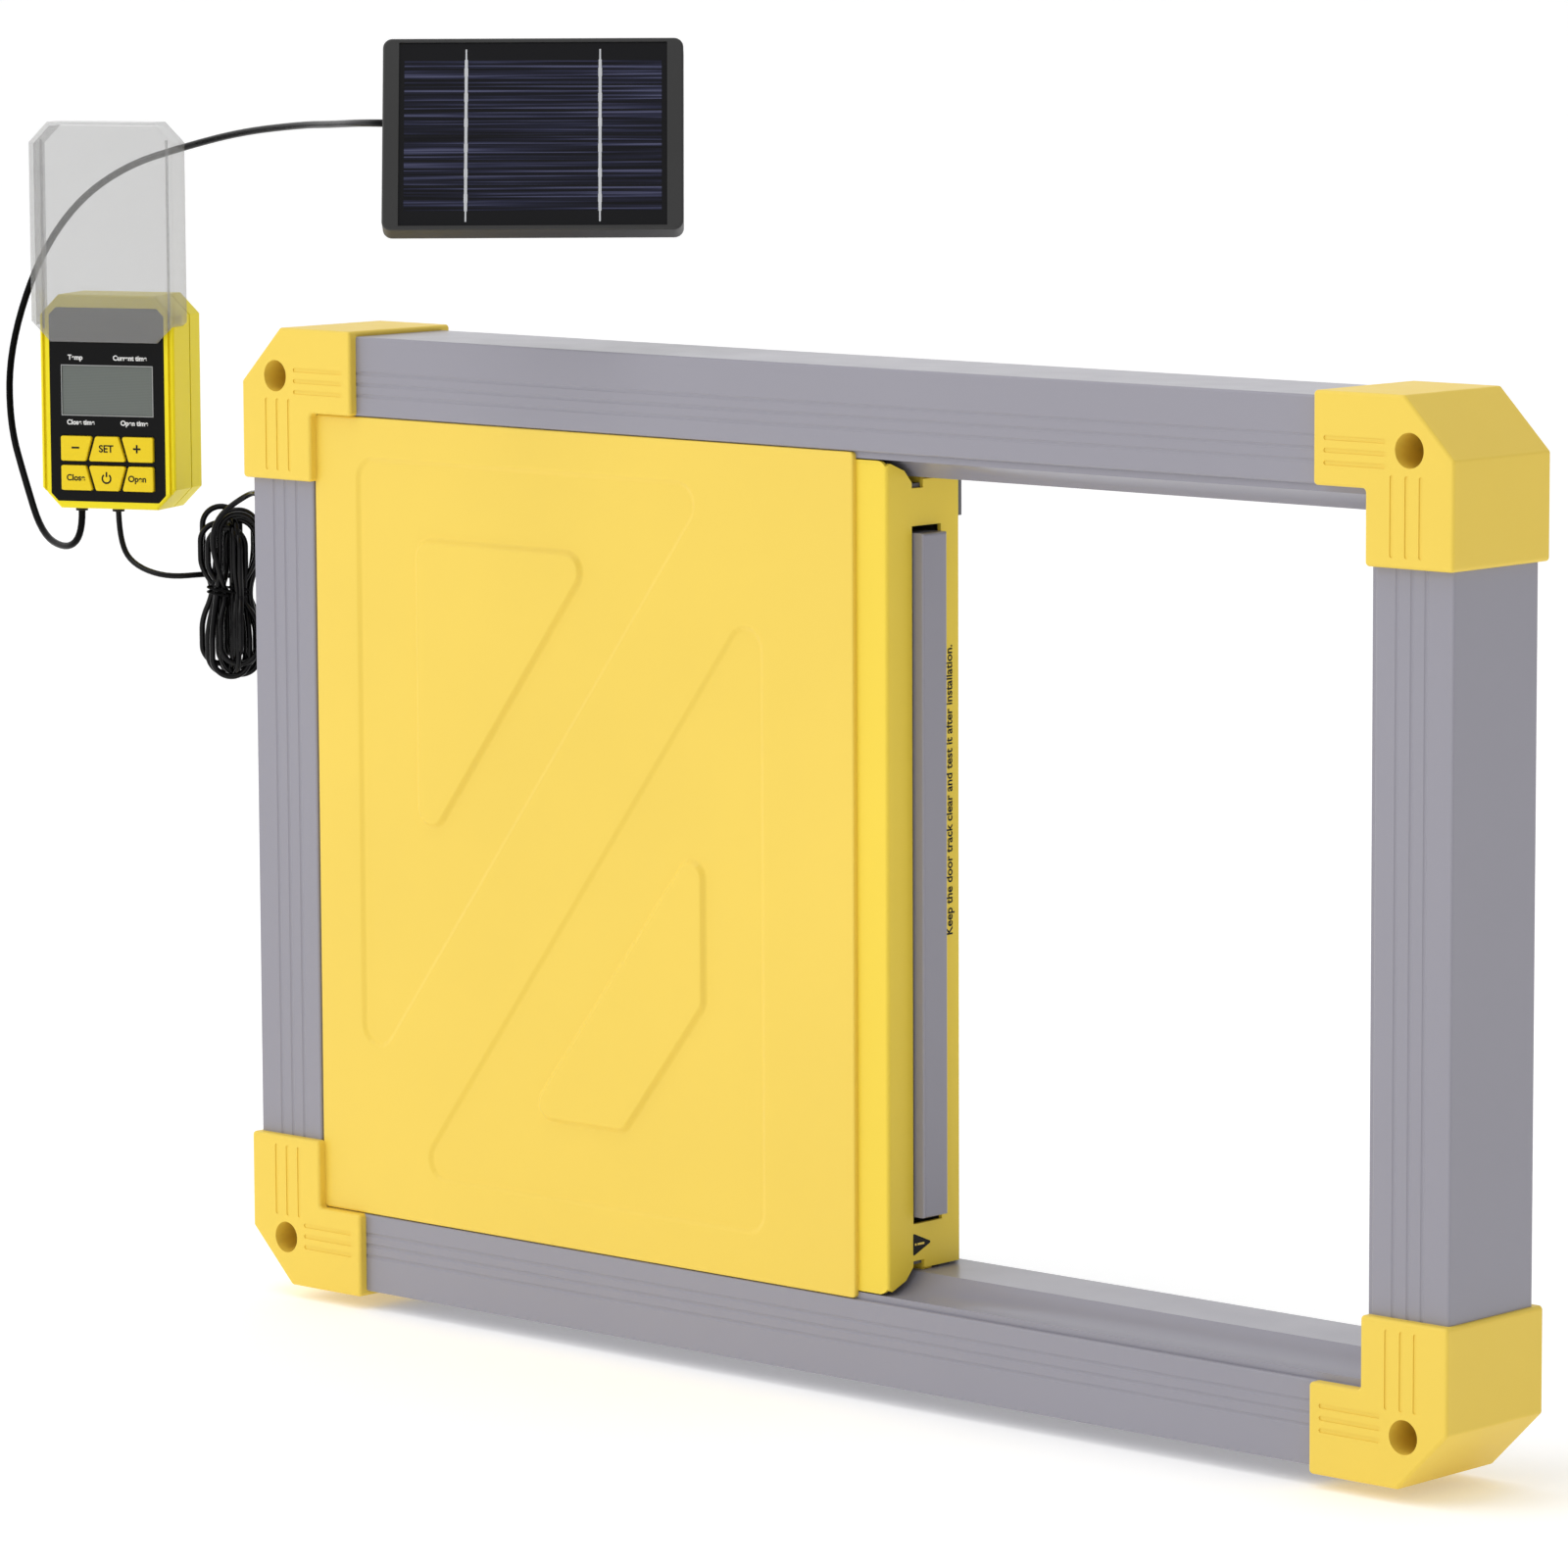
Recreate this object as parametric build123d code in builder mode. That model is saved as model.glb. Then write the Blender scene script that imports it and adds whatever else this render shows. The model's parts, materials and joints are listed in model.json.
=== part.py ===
"""Automatic coop door: a wall-mounted sliding door in an aluminium frame, with its controller and solar panel.

Lengths are millimetres. X runs along the frame, the wall is the plane y = 0, the front faces -Y and +Z is up.
The origin is the middle of the four wall-screw holes, on the wall.
"""
from build123d import *
from math import cos, pi, radians, sin, tan
import os

os.makedirs("parts", exist_ok=True)

# ---- driving dimensions ----
FRAME_W = 580.0
FRAME_H = 370.0
FRAME_D = 53.0
HALF_W = FRAME_W / 2
HALF_H = FRAME_H / 2
SKIN_SIDE = 2.0
SKIN_FACE = 3.5
RAIL_WALL = 1.8
EDGE_RADIUS = 0.9
GROOVE_W = 1.6
GROOVE_DEEP = 0.35
RAIL_BACK = SKIN_FACE
RAIL_FRONT = FRAME_D - SKIN_FACE
RAIL_FACE_H = 30.0
POST_FACE_W = 33.0
EDGE_STEP = 2.5
REVEAL = 9.5
RAIL_OUT = HALF_H - SKIN_SIDE
RAIL_EDGE = RAIL_OUT - RAIL_FACE_H
RAIL_IN = RAIL_EDGE - REVEAL
POST_OUT = HALF_W - SKIN_SIDE
POST_EDGE = POST_OUT - POST_FACE_W
POST_IN = POST_EDGE - REVEAL

CAP_W = 59.0
CAP_H = 58.0
CAP_ARM_W = 37.0
CAP_ARM_H = 32.0
CAP_CHAMFER = 21.0
SCREW_INSET = 18.4
HOLE_X = HALF_W - SCREW_INSET
HOLE_Z = HALF_H - SCREW_INSET
HOLE_R = 2.75
SOCKET_R = 6.0

COVER_LEFT = -POST_EDGE + 1.0
COVER_RIGHT = 20.5
SIDE_X = 35.0
SHEET = 1.5

DOOR_T = 13.0
DOOR_BACK = 20.0
DOOR_MID = DOOR_BACK + DOOR_T / 2
DOOR_HALF_H = 123.5
DOOR_LEAD = 39.5
DOOR_TAIL = -213.0
EDGE_W = 10.0
END_CAP = 2.5
TRAVEL = 209.0

ROD_R = 3.0
ROD_Z = 134.0
SCREW_R = 3.0
SCREW_DEPTH = 12.0
FIT = 0.05
CARRIAGE_L = 30.0
CARRIAGE_RIGHT = DOOR_TAIL + CARRIAGE_L

CTRL_W = 57.5
CTRL_H = 84.0
CTRL_D = 25.0
CTRL_TURN = 22.8
SPLIT_D = 9.0
CHAMFER = 8.0
KEY_TRAVEL = 0.8

PANEL_W = 109.4
PANEL_H = 73.2
PANEL_D = 10.0
LAMINATE_W = 97.6
LAMINATE_H = 70.0
PANEL_LEDGE = 2.0
PANEL_TURN = 42.5
PANEL_RISE = 21.0
TILT_Y = 8.8
TILT_D = 5.0

SOLAR_CORD_D = 2.8
DOOR_CORD_D = 2.3

# ---- local planes ----


def wall_plane(depth):
    """The plane parallel to the wall, this far in front of it; extruding goes on toward the front."""
    return Plane.XZ.offset(depth)


ctrl_right = Vector(cos(radians(CTRL_TURN)), sin(radians(CTRL_TURN)), 0)
ctrl_front = Vector(sin(radians(CTRL_TURN)), -cos(radians(CTRL_TURN)), 0)
CTRL = Plane(origin=(-389.3, -18, 150.5), x_dir=ctrl_right, z_dir=ctrl_front)

panel_right = Vector(cos(radians(PANEL_TURN)), sin(radians(PANEL_TURN)), 0)
panel_front = Vector(
    sin(radians(PANEL_TURN)) * cos(radians(PANEL_RISE)),
    -cos(radians(PANEL_TURN)) * cos(radians(PANEL_RISE)),
    sin(radians(PANEL_RISE)),
)
PANEL = Plane(origin=(-122.5, -63.4, 259.2), x_dir=panel_right, z_dir=panel_front)


def point_on(plane, x, y, z):
    """A point given in a local plane, as a point of the whole object."""
    return plane.from_local_coords(Vector(x, y, z))


def plane_across(plane, x, y, z):
    """A plane through a local point whose normal is the local x direction."""
    return Plane(origin=point_on(plane, x, y, z), x_dir=plane.y_dir, z_dir=plane.x_dir)


def plane_below(plane, x, y, z):
    """A plane through a local point that looks down the local y direction."""
    return Plane(origin=point_on(plane, x, y, z), x_dir=plane.x_dir, z_dir=plane.y_dir * -1)


# ---- frame rails ----


def rail_outline():
    """Section of the top rail; sketch x is the object's Y and sketch y is its Z."""
    with BuildSketch() as outline:
        with BuildLine():
            Polyline(
                (-RAIL_FRONT + 4, RAIL_EDGE - EDGE_STEP),
                (-RAIL_FRONT + 2, RAIL_EDGE - EDGE_STEP),
                (-RAIL_FRONT + 2, RAIL_EDGE),
                (-RAIL_FRONT, RAIL_EDGE),
                (-RAIL_FRONT, RAIL_OUT),
                (-RAIL_BACK, RAIL_OUT),
                (-RAIL_BACK, RAIL_IN),
                (-31, RAIL_IN),
            )
            ThreePointArc((-31, RAIL_IN), (-37.4, RAIL_IN + 5.3), (-RAIL_FRONT + 4, RAIL_EDGE - EDGE_STEP))
        make_face()
        fillet(outline.vertices().group_by(Axis.X)[0], radius=EDGE_RADIUS)
    return outline.sketch


def post_outline():
    """Section of the right post, in the object's X and Y."""
    with BuildSketch() as outline:
        with BuildLine():
            Polyline(
                (POST_EDGE - EDGE_STEP, -RAIL_FRONT + 4),
                (POST_EDGE - EDGE_STEP, -RAIL_FRONT + 2),
                (POST_EDGE, -RAIL_FRONT + 2),
                (POST_EDGE, -RAIL_FRONT),
                (POST_OUT, -RAIL_FRONT),
                (POST_OUT, -RAIL_BACK),
                (POST_IN, -RAIL_BACK),
                (POST_IN, -31),
            )
            ThreePointArc((POST_IN, -31), (POST_IN + 5.3, -37.4), (POST_EDGE - EDGE_STEP, -RAIL_FRONT + 4))
        make_face()
        fillet(outline.vertices().group_by(Axis.Y)[0], radius=EDGE_RADIUS)
    return outline.sketch


rail_end = POST_EDGE - 2
post_end = RAIL_EDGE

with BuildPart() as rail_blank:
    with BuildSketch(Plane.YZ.offset(-rail_end)):
        add(rail_outline())
    extrude(amount=2 * rail_end)

with BuildPart() as post_blank:
    with BuildSketch(Plane.XY.offset(-post_end)):
        add(post_outline())
    extrude(amount=2 * post_end)
    add(rail_blank.part, mode=Mode.SUBTRACT)
    mirror(rail_blank.part, about=Plane.XY, mode=Mode.SUBTRACT)

RAIL_GROOVES = [RAIL_OUT - RAIL_FACE_H * share for share in (0.46, 0.60, 0.74)]
POST_GROOVES = [POST_OUT - POST_FACE_W * share for share in (0.35, 0.53, 0.72)]


GROOVE_R = (GROOVE_W ** 2 / 4 + GROOVE_DEEP ** 2) / (2 * GROOVE_DEEP)
GROOVE_AXIS = -RAIL_FRONT - GROOVE_R + GROOVE_DEEP


def rail_grooves(length):
    """Three shallow round grooves along the front face of the top rail."""
    with Locations(*[(0, GROOVE_AXIS, height) for height in RAIL_GROOVES]):
        Cylinder(GROOVE_R, length, rotation=(0, 90, 0), mode=Mode.SUBTRACT)


def post_grooves(side, length):
    """Three shallow round grooves along the front face of a post."""
    with Locations(*[(side * across, GROOVE_AXIS, 0) for across in POST_GROOVES]):
        Cylinder(GROOVE_R, length, mode=Mode.SUBTRACT)


REAR_SCREW_X = (-220.0, -110.0, 0.0)
REAR_SCREW_Z = RAIL_EDGE - 4.5
CAP_SCREW_SPOTS = [(HALF_W - 50, HALF_H - 17), (HALF_W - 18.5, HALF_H - 47)]

with BuildPart() as top_rail:
    add(rail_blank.part)
    with BuildSketch(Plane.YZ.offset(-rail_end)):
        with Locations((-26.5, (RAIL_OUT + RAIL_EDGE) / 2)):
            Rectangle(RAIL_FRONT - RAIL_BACK - 2 * RAIL_WALL, RAIL_FACE_H - 2 * RAIL_WALL)
        with Locations(((-31 - RAIL_BACK - RAIL_WALL) / 2, (RAIL_IN + RAIL_EDGE + 2 * RAIL_WALL) / 2)):
            Rectangle(31 - RAIL_BACK - RAIL_WALL, REVEAL)
    extrude(amount=2 * rail_end, mode=Mode.SUBTRACT)
    rail_grooves(2 * rail_end)
    with BuildSketch(wall_plane(0)):
        with Locations(*[(spot, REAR_SCREW_Z) for spot in REAR_SCREW_X]):
            Circle(1.5)
        with Locations(*[(side * CAP_SCREW_SPOTS[0][0], CAP_SCREW_SPOTS[0][1]) for side in (-1, 1)]):
            Circle(1.5)
    extrude(amount=8, mode=Mode.SUBTRACT)

with BuildPart() as bottom_rail:
    mirror(top_rail.part, about=Plane.XY)

GLAND_SPOT = (-POST_OUT, -26.0, 117.0)

with BuildPart() as right_post:
    add(post_blank.part)
    with BuildSketch(Plane.XY.offset(-post_end)):
        with Locations(((POST_OUT + POST_EDGE) / 2, -26.5)):
            Rectangle(POST_FACE_W - 2 * RAIL_WALL, RAIL_FRONT - RAIL_BACK - 2 * RAIL_WALL)
    extrude(amount=2 * post_end, mode=Mode.SUBTRACT)
    with Locations((POST_IN + 2, -26.5, 0)):
        Box(8, 16, 2 * DOOR_HALF_H + 8, mode=Mode.SUBTRACT)
    post_grooves(1, 2 * post_end)
    with BuildSketch(wall_plane(0)):
        with Locations(*[(CAP_SCREW_SPOTS[1][0], side * CAP_SCREW_SPOTS[1][1]) for side in (-1, 1)]):
            Circle(1.5)
    extrude(amount=8, mode=Mode.SUBTRACT)

with BuildPart() as left_post:
    mirror(post_blank.part, about=Plane.YZ)
    with BuildSketch(Plane.XY.offset(-post_end)):
        with Locations((-(POST_OUT + POST_EDGE) / 2, -26.5)):
            Rectangle(POST_FACE_W - 2 * RAIL_WALL, RAIL_FRONT - RAIL_BACK - 2 * RAIL_WALL)
    extrude(amount=2 * post_end, mode=Mode.SUBTRACT)
    post_grooves(-1, 2 * post_end)
    with BuildSketch(wall_plane(0)):
        with Locations(*[(-CAP_SCREW_SPOTS[1][0], side * CAP_SCREW_SPOTS[1][1]) for side in (-1, 1)]):
            Circle(1.5)
    extrude(amount=8, mode=Mode.SUBTRACT)
    with BuildSketch(Plane.YZ.offset(-POST_OUT - 1)):
        with Locations((GLAND_SPOT[1], GLAND_SPOT[2])):
            Circle(3)
    extrude(amount=4, mode=Mode.SUBTRACT)

# ---- corner caps ----

with BuildPart() as corner_cap_top_right:
    with BuildSketch(wall_plane(0)):
        with BuildLine():
            Polyline(
                (HALF_W - CAP_W, HALF_H),
                (HALF_W - CAP_CHAMFER, HALF_H),
                (HALF_W, HALF_H - CAP_CHAMFER),
                (HALF_W, HALF_H - CAP_H),
                (HALF_W - CAP_ARM_W, HALF_H - CAP_H),
                (HALF_W - CAP_ARM_W, HALF_H - CAP_ARM_H),
                (HALF_W - CAP_W, HALF_H - CAP_ARM_H),
                close=True,
            )
        make_face()
    extrude(amount=FRAME_D)
    fillet(edges().filter_by(Axis.Y), radius=1.5)
    fillet(faces().sort_by(Axis.Y)[0].edges(), radius=1.2)
    with BuildSketch(wall_plane(FRAME_D - GROOVE_DEEP)):
        with Locations(*[(HALF_W - 41.4, height) for height in RAIL_GROOVES]):
            SlotOverall(26.2, GROOVE_W)
        with Locations(*[(across, HALF_H - 40.7) for across in POST_GROOVES]):
            SlotOverall(27.5, GROOVE_W, rotation=90)
    extrude(amount=1, mode=Mode.SUBTRACT)
    add(rail_blank.part, mode=Mode.SUBTRACT)
    add(post_blank.part, mode=Mode.SUBTRACT)
    with Locations((POST_EDGE - 1.5, -FRAME_D / 2, HALF_H - CAP_H / 2 - 17)):
        Box(3, RAIL_FRONT - RAIL_BACK, 32, mode=Mode.SUBTRACT)
    with BuildSketch(wall_plane(0)):
        with BuildLine():
            Polyline(
                (HALF_W - 34, HALF_H - 29),
                (HALF_W - 3, HALF_H - 29),
                (HALF_W - 3, HALF_H - 22),
                (HALF_W - 22, HALF_H - 3),
                (HALF_W - 34, HALF_H - 3),
                close=True,
            )
        make_face()
        with Locations((HOLE_X, HOLE_Z)):
            Circle(9, mode=Mode.SUBTRACT)
    extrude(amount=FRAME_D - 4, mode=Mode.SUBTRACT)
    with Locations((HALF_W - 45, -26.5, HALF_H - 17), (HALF_W - 18.5, -26.5, HALF_H - 45)):
        Box(16, 36, 16)
    with Locations((HALF_W - 37, -26.5, HALF_H - 17), (HALF_W - 18.5, -26.5, HALF_H - 33)):
        Box(8, 36, 8)
    with BuildSketch(wall_plane(0)):
        with Locations((HOLE_X, HOLE_Z)):
            Circle(HOLE_R)
        with Locations(*CAP_SCREW_SPOTS):
            Circle(1.5)
    extrude(amount=FRAME_D - 4, mode=Mode.SUBTRACT)
    with BuildSketch(wall_plane(FRAME_D - 38)):
        with Locations((HOLE_X, HOLE_Z)):
            Circle(SOCKET_R)
    extrude(amount=40, mode=Mode.SUBTRACT)
    with BuildSketch(wall_plane(0)):
        with Locations(*CAP_SCREW_SPOTS):
            Circle(2.9)
    extrude(amount=2, mode=Mode.SUBTRACT)

with BuildPart() as corner_cap_top_left:
    mirror(corner_cap_top_right.part, about=Plane.YZ)

with BuildPart() as corner_cap_bottom_right:
    mirror(corner_cap_top_right.part, about=Plane.XY)

with BuildPart() as corner_cap_bottom_left:
    mirror(corner_cap_top_left.part, about=Plane.XY)


def across_wall(radius, spots, depth, length, mode=Mode.ADD):
    """Round bars or bores that run out from the wall, starting at this depth."""
    with Locations(*[(x, -depth - length / 2, z) for x, z in spots]):
        Cylinder(radius, length, rotation=(90, 0, 0), mode=mode)


def flush_screws(head_r, head_h, shank_r, length, spots, depth):
    """Socket screws driven from the back; depth is where the outer face of the head lies."""
    across_wall(head_r, spots, depth, head_h)
    across_wall(1.2, spots, depth, head_h * 0.6, Mode.SUBTRACT)
    across_wall(shank_r, spots, depth + head_h, length)


# ---- housing on the left ----


def rounded_polygon(points, radius):
    """A closed polygon with every corner rounded alike."""
    with BuildSketch() as outline:
        with BuildLine():
            Polyline(*points, close=True)
        make_face()
        fillet(outline.vertices(), radius=radius)
    return outline.sketch


COVER_T = 2.0
PRESS_DEPTH = 0.9
FIELD_RISE = 0.7
PRESSED_BANDS = [
    rounded_polygon([(-231, 137), (-49, 137), (-231, -102.5)], 8),
    rounded_polygon([(-24, -135), (-204, -135), (-24, 102)], 8),
]
RAISED_FIELDS = [
    rounded_polygon([(-200, 108), (-107.5, 108), (-200, -13.5)], 7),
    rounded_polygon([(-53.5, 10), (-53.5, -54), (-94, -105), (-144, -105)], 5),
]

with BuildPart() as front_cover:
    with BuildSketch(wall_plane(RAIL_FRONT - COVER_T)):
        with Locations(((COVER_LEFT + COVER_RIGHT) / 2, 0)):
            Rectangle(COVER_RIGHT - COVER_LEFT, 2 * RAIL_EDGE - 0.6)
    extrude(amount=COVER_T)
    with BuildSketch(wall_plane(RAIL_FRONT - PRESS_DEPTH)):
        add(PRESSED_BANDS)
    extrude(amount=COVER_T, mode=Mode.SUBTRACT)
    with BuildSketch(wall_plane(RAIL_FRONT - PRESS_DEPTH)):
        add(RAISED_FIELDS)
    extrude(amount=PRESS_DEPTH + FIELD_RISE)
    chamfer(faces().group_by(Axis.Y)[0].edges(), length=0.6)

SLOT_FRONT = 34.0
SLOT_BACK = 18.5
SLOT_HALF_H = 126.0
RETURN_LEFT = 27.0
RETURN_HALF_H = 126.5

with BuildPart() as side_plate:
    with BuildSketch(Plane.YZ.offset(SIDE_X - SHEET)):
        with BuildLine():
            Polyline(
                (-47.5, 0),
                (-47.5, 148),
                (-45.5, 149),
                (-38, 146),
                (-34, 141.5),
                (-34, 139.5),
                (-28, 139.5),
                (-28, 142.5),
                (-9, 142.5),
                (-9, 0),
                close=True,
            )
        make_face()
        mirror(about=Plane.XZ)
        with Locations((-(SLOT_FRONT + SLOT_BACK) / 2, 0)):
            Rectangle(SLOT_FRONT - SLOT_BACK, 2 * SLOT_HALF_H, mode=Mode.SUBTRACT)
    extrude(amount=SHEET)
    with BuildSketch(wall_plane(46)):
        with Locations(((SIDE_X + 8) / 2, 0)):
            RectangleRounded(SIDE_X - 8, 300, 4.5)
    extrude(amount=SHEET)
    fillet(edges().filter_by(Axis.Z).group_by(Axis.X)[-1].sort_by(Axis.Y)[0], radius=1.4)
    with Locations((30.5, -25, 142.3), (30.5, -25, -142.3)):
        Box(6, 5, 2.4)
    with Locations(((RETURN_LEFT + SIDE_X - SHEET) / 2, -9 - SHEET / 2, 0)):
        Box(SIDE_X - SHEET - RETURN_LEFT, SHEET, 2 * RETURN_HALF_H)

REAR_RIGHT = RETURN_LEFT + SHEET

with BuildPart() as rear_cover:
    with BuildSketch(wall_plane(RAIL_BACK - SHEET)):
        with Locations(((-252.5 + REAR_RIGHT) / 2, 0)):
            Rectangle(252.5 + REAR_RIGHT, 2 * RAIL_EDGE - 1)
        with Locations(*[(spot, side * REAR_SCREW_Z) for spot in REAR_SCREW_X for side in (-1, 1)]):
            Circle(1.5, mode=Mode.SUBTRACT)
    extrude(amount=SHEET)
    with BuildSketch(wall_plane(RAIL_BACK)):
        with Locations((REAR_RIGHT - SHEET / 2, 0)):
            Rectangle(SHEET, 2 * RETURN_HALF_H)
    extrude(amount=9 - SHEET - 0.3 - RAIL_BACK)

CAP_SCREWS = [(sx * x, sz * z) for x, z in CAP_SCREW_SPOTS for sx in (-1, 1) for sz in (-1, 1)]
REAR_SCREWS = [(spot, side * REAR_SCREW_Z) for spot in REAR_SCREW_X for side in (-1, 1)]

with BuildPart() as frame_screws:
    flush_screws(2.75, 1.6, 1.5, 6, CAP_SCREWS + REAR_SCREWS, 0.4)

# ---- guide rods ----

ROD_LEFT = -POST_IN + 0.5
ROD_RIGHT = SIDE_X - SHEET - 0.5


def along_x(x, depth, height, radius, length, mode=Mode.ADD):
    """A round bar or bore along the frame that starts at this x."""
    with Locations((x + length / 2, -depth, height)):
        Cylinder(radius, length, rotation=(0, 90, 0), mode=mode)


def block(x0, x1, depth0, depth1, z0, z1, mode=Mode.ADD):
    """A box from its limits; depths are measured from the wall."""
    with Locations(((x0 + x1) / 2, -(depth0 + depth1) / 2, (z0 + z1) / 2)):
        Box(x1 - x0, depth1 - depth0, z1 - z0, mode=mode)


with BuildPart() as guide_rods:
    for side in (-1, 1):
        along_x(ROD_LEFT, DOOR_MID, side * ROD_Z, ROD_R, ROD_RIGHT - ROD_LEFT)

with BuildPart() as rod_supports:
    for side in (-1, 1):
        low = min(side * 127.5, side * RAIL_IN)
        high = max(side * 127.5, side * RAIL_IN)
        block(-POST_IN, -POST_IN + 8, 20, 33, low, high)
        low = min(side * 127.5, side * 141)
        high = max(side * 127.5, side * 141)
        block(27, SIDE_X - SHEET, 20, 33, low, high)
        along_x(ROD_LEFT, DOOR_MID, side * ROD_Z, ROD_R, ROD_RIGHT - ROD_LEFT, Mode.SUBTRACT)

# ---- door and what rides with it ----

DOOR_FRONT = DOOR_BACK + DOOR_T
PANEL_RIGHT = DOOR_LEAD - EDGE_W
WEB_PITCH = 40.0

with BuildPart() as door_panel:
    block(DOOR_TAIL, PANEL_RIGHT, DOOR_BACK, DOOR_FRONT, -DOOR_HALF_H + END_CAP, DOOR_HALF_H - END_CAP)
    for cell in range(6):
        left = DOOR_TAIL + 1.2 + cell * (WEB_PITCH + 0.2)
        block(left, left + WEB_PITCH - 1, DOOR_BACK + 1.2, DOOR_FRONT - 1.2, -130, 130, Mode.SUBTRACT)


with BuildPart() as door_end_caps:
    block(DOOR_TAIL, PANEL_RIGHT, DOOR_BACK, DOOR_FRONT, DOOR_HALF_H - END_CAP, DOOR_HALF_H)
    block(DOOR_TAIL, PANEL_RIGHT, DOOR_BACK, DOOR_FRONT, -DOOR_HALF_H, -DOOR_HALF_H + END_CAP)

with BuildPart() as door_edge_strip:
    block(PANEL_RIGHT, DOOR_LEAD, DOOR_BACK, DOOR_FRONT, -DOOR_HALF_H, DOOR_HALF_H)
    fillet(faces().sort_by(Axis.X)[-1].edges(), radius=1.0)

BUSH_R = 5.0
BUSH_L = 8.0


def carriage_block(side):
    """The slider on one door edge, bored for its two bushings and the rod between them."""
    low = min(side * DOOR_HALF_H, side * 142)
    high = max(side * DOOR_HALF_H, side * 142)
    block(DOOR_TAIL, CARRIAGE_RIGHT, DOOR_BACK, DOOR_FRONT, low, high)
    along_x(DOOR_TAIL, DOOR_MID, side * ROD_Z, 4, CARRIAGE_L, Mode.SUBTRACT)
    along_x(DOOR_TAIL, DOOR_MID, side * ROD_Z, BUSH_R, BUSH_L, Mode.SUBTRACT)
    along_x(CARRIAGE_RIGHT - BUSH_L, DOOR_MID, side * ROD_Z, BUSH_R, BUSH_L, Mode.SUBTRACT)


NUT_L = 12.0
NUT_LEFT = CARRIAGE_RIGHT - NUT_L

with BuildPart() as carriage_top:
    carriage_block(1)
    block(NUT_LEFT, CARRIAGE_RIGHT, 5.8, DOOR_BACK, 126.5, 141.5)
    along_x(NUT_LEFT, SCREW_DEPTH, ROD_Z, 5, NUT_L, Mode.SUBTRACT)

with BuildPart() as carriage_bottom:
    carriage_block(-1)
    block(DOOR_TAIL, CARRIAGE_RIGHT, 12.5, DOOR_BACK, -142, -136)

with BuildPart() as guide_bushings:
    for side in (-1, 1):
        for left in (DOOR_TAIL, CARRIAGE_RIGHT - BUSH_L):
            along_x(left, DOOR_MID, side * ROD_Z, BUSH_R, BUSH_L)
            along_x(left, DOOR_MID, side * ROD_Z, ROD_R + FIT, BUSH_L, Mode.SUBTRACT)

with BuildPart() as drive_nut:
    along_x(NUT_LEFT, SCREW_DEPTH, ROD_Z, 5, NUT_L)
    along_x(NUT_LEFT, SCREW_DEPTH, ROD_Z, SCREW_R + FIT, NUT_L, Mode.SUBTRACT)

# ---- screw drive ----

with BuildPart() as lead_screw:
    along_x(-211, SCREW_DEPTH, ROD_Z, 2, 12)
    along_x(-199, SCREW_DEPTH, ROD_Z, SCREW_R, 226)
    along_x(27, SCREW_DEPTH, ROD_Z, 2, 5.5)

with BuildPart() as bearing_blocks:
    block(-203.5, -199.5, 5.5, 18.5, 128, RAIL_IN)
    block(27.5, SIDE_X - SHEET, 5.5, 18.5, 128, 141)
    along_x(-204, SCREW_DEPTH, ROD_Z, 2 + FIT, 5, Mode.SUBTRACT)
    along_x(27.5, SCREW_DEPTH, ROD_Z, 2 + FIT, 5.3, Mode.SUBTRACT)

with BuildPart() as gearmotor:
    with BuildSketch(Plane.YZ.offset(-244)):
        with Locations((-SCREW_DEPTH, ROD_Z)):
            Circle(6)
            Rectangle(12, 10, mode=Mode.INTERSECT)
    extrude(amount=15)
    block(-229, -220, 6, 18, ROD_Z - 5, ROD_Z + 5)
    along_x(-224, SCREW_DEPTH, ROD_Z, 1.5 + FIT, 4, Mode.SUBTRACT)

with BuildPart() as motor_shaft:
    along_x(-223.8, SCREW_DEPTH, ROD_Z, 1.5, 12.3)

with BuildPart() as shaft_coupling:
    along_x(-218, SCREW_DEPTH, ROD_Z, 4.5, 14)
    along_x(-218, SCREW_DEPTH, ROD_Z, 1.5, 7, Mode.SUBTRACT)
    along_x(-211, SCREW_DEPTH, ROD_Z, 2, 7, Mode.SUBTRACT)

with BuildPart() as motor_bracket:
    block(-228, -221, 4.5, 19.5, 127.5, RAIL_IN)
    block(-228, -221, 6, 18, ROD_Z - 5, ROD_Z + 5, Mode.SUBTRACT)


def limit_switch(face, toward):
    """A small switch on the bottom rail whose plunger points along the frame."""
    back = face + toward * 6.5
    block(min(face, back), max(face, back), 12.7, 18.5, -RAIL_IN, -RAIL_IN + 12.8)
    tip = face - toward * 0.9
    block(min(face, tip), max(face, tip), 14.6, 16.6, -140, -138)


with BuildPart() as limit_switches:
    limit_switch(DOOR_TAIL - 1.1, -1)
    limit_switch(27, 1)

with BuildPart() as post_buffer:
    block(POST_IN + 4, POST_IN + 6, 19, 34, -DOOR_HALF_H, DOOR_HALF_H)

# ---- controller ----


def octagon(width, height, cut):
    """A rectangle with its four corners cut at 45 degrees."""
    with BuildSketch() as outline:
        Rectangle(width, height)
        chamfer(outline.vertices(), length=cut)
    return outline.sketch


SHELL_WALL = 2.0
CTRL_SCREWS = [(-22.5, -33.0), (-22.5, 33.0), (22.5, -33.0), (22.5, 33.0)]
BRACKET_SCREWS = [(-8.0, -12.0), (-8.0, 12.0)]
GLAND_X = (-15.3, 0.5)
GLAND_D = 17.0

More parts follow.
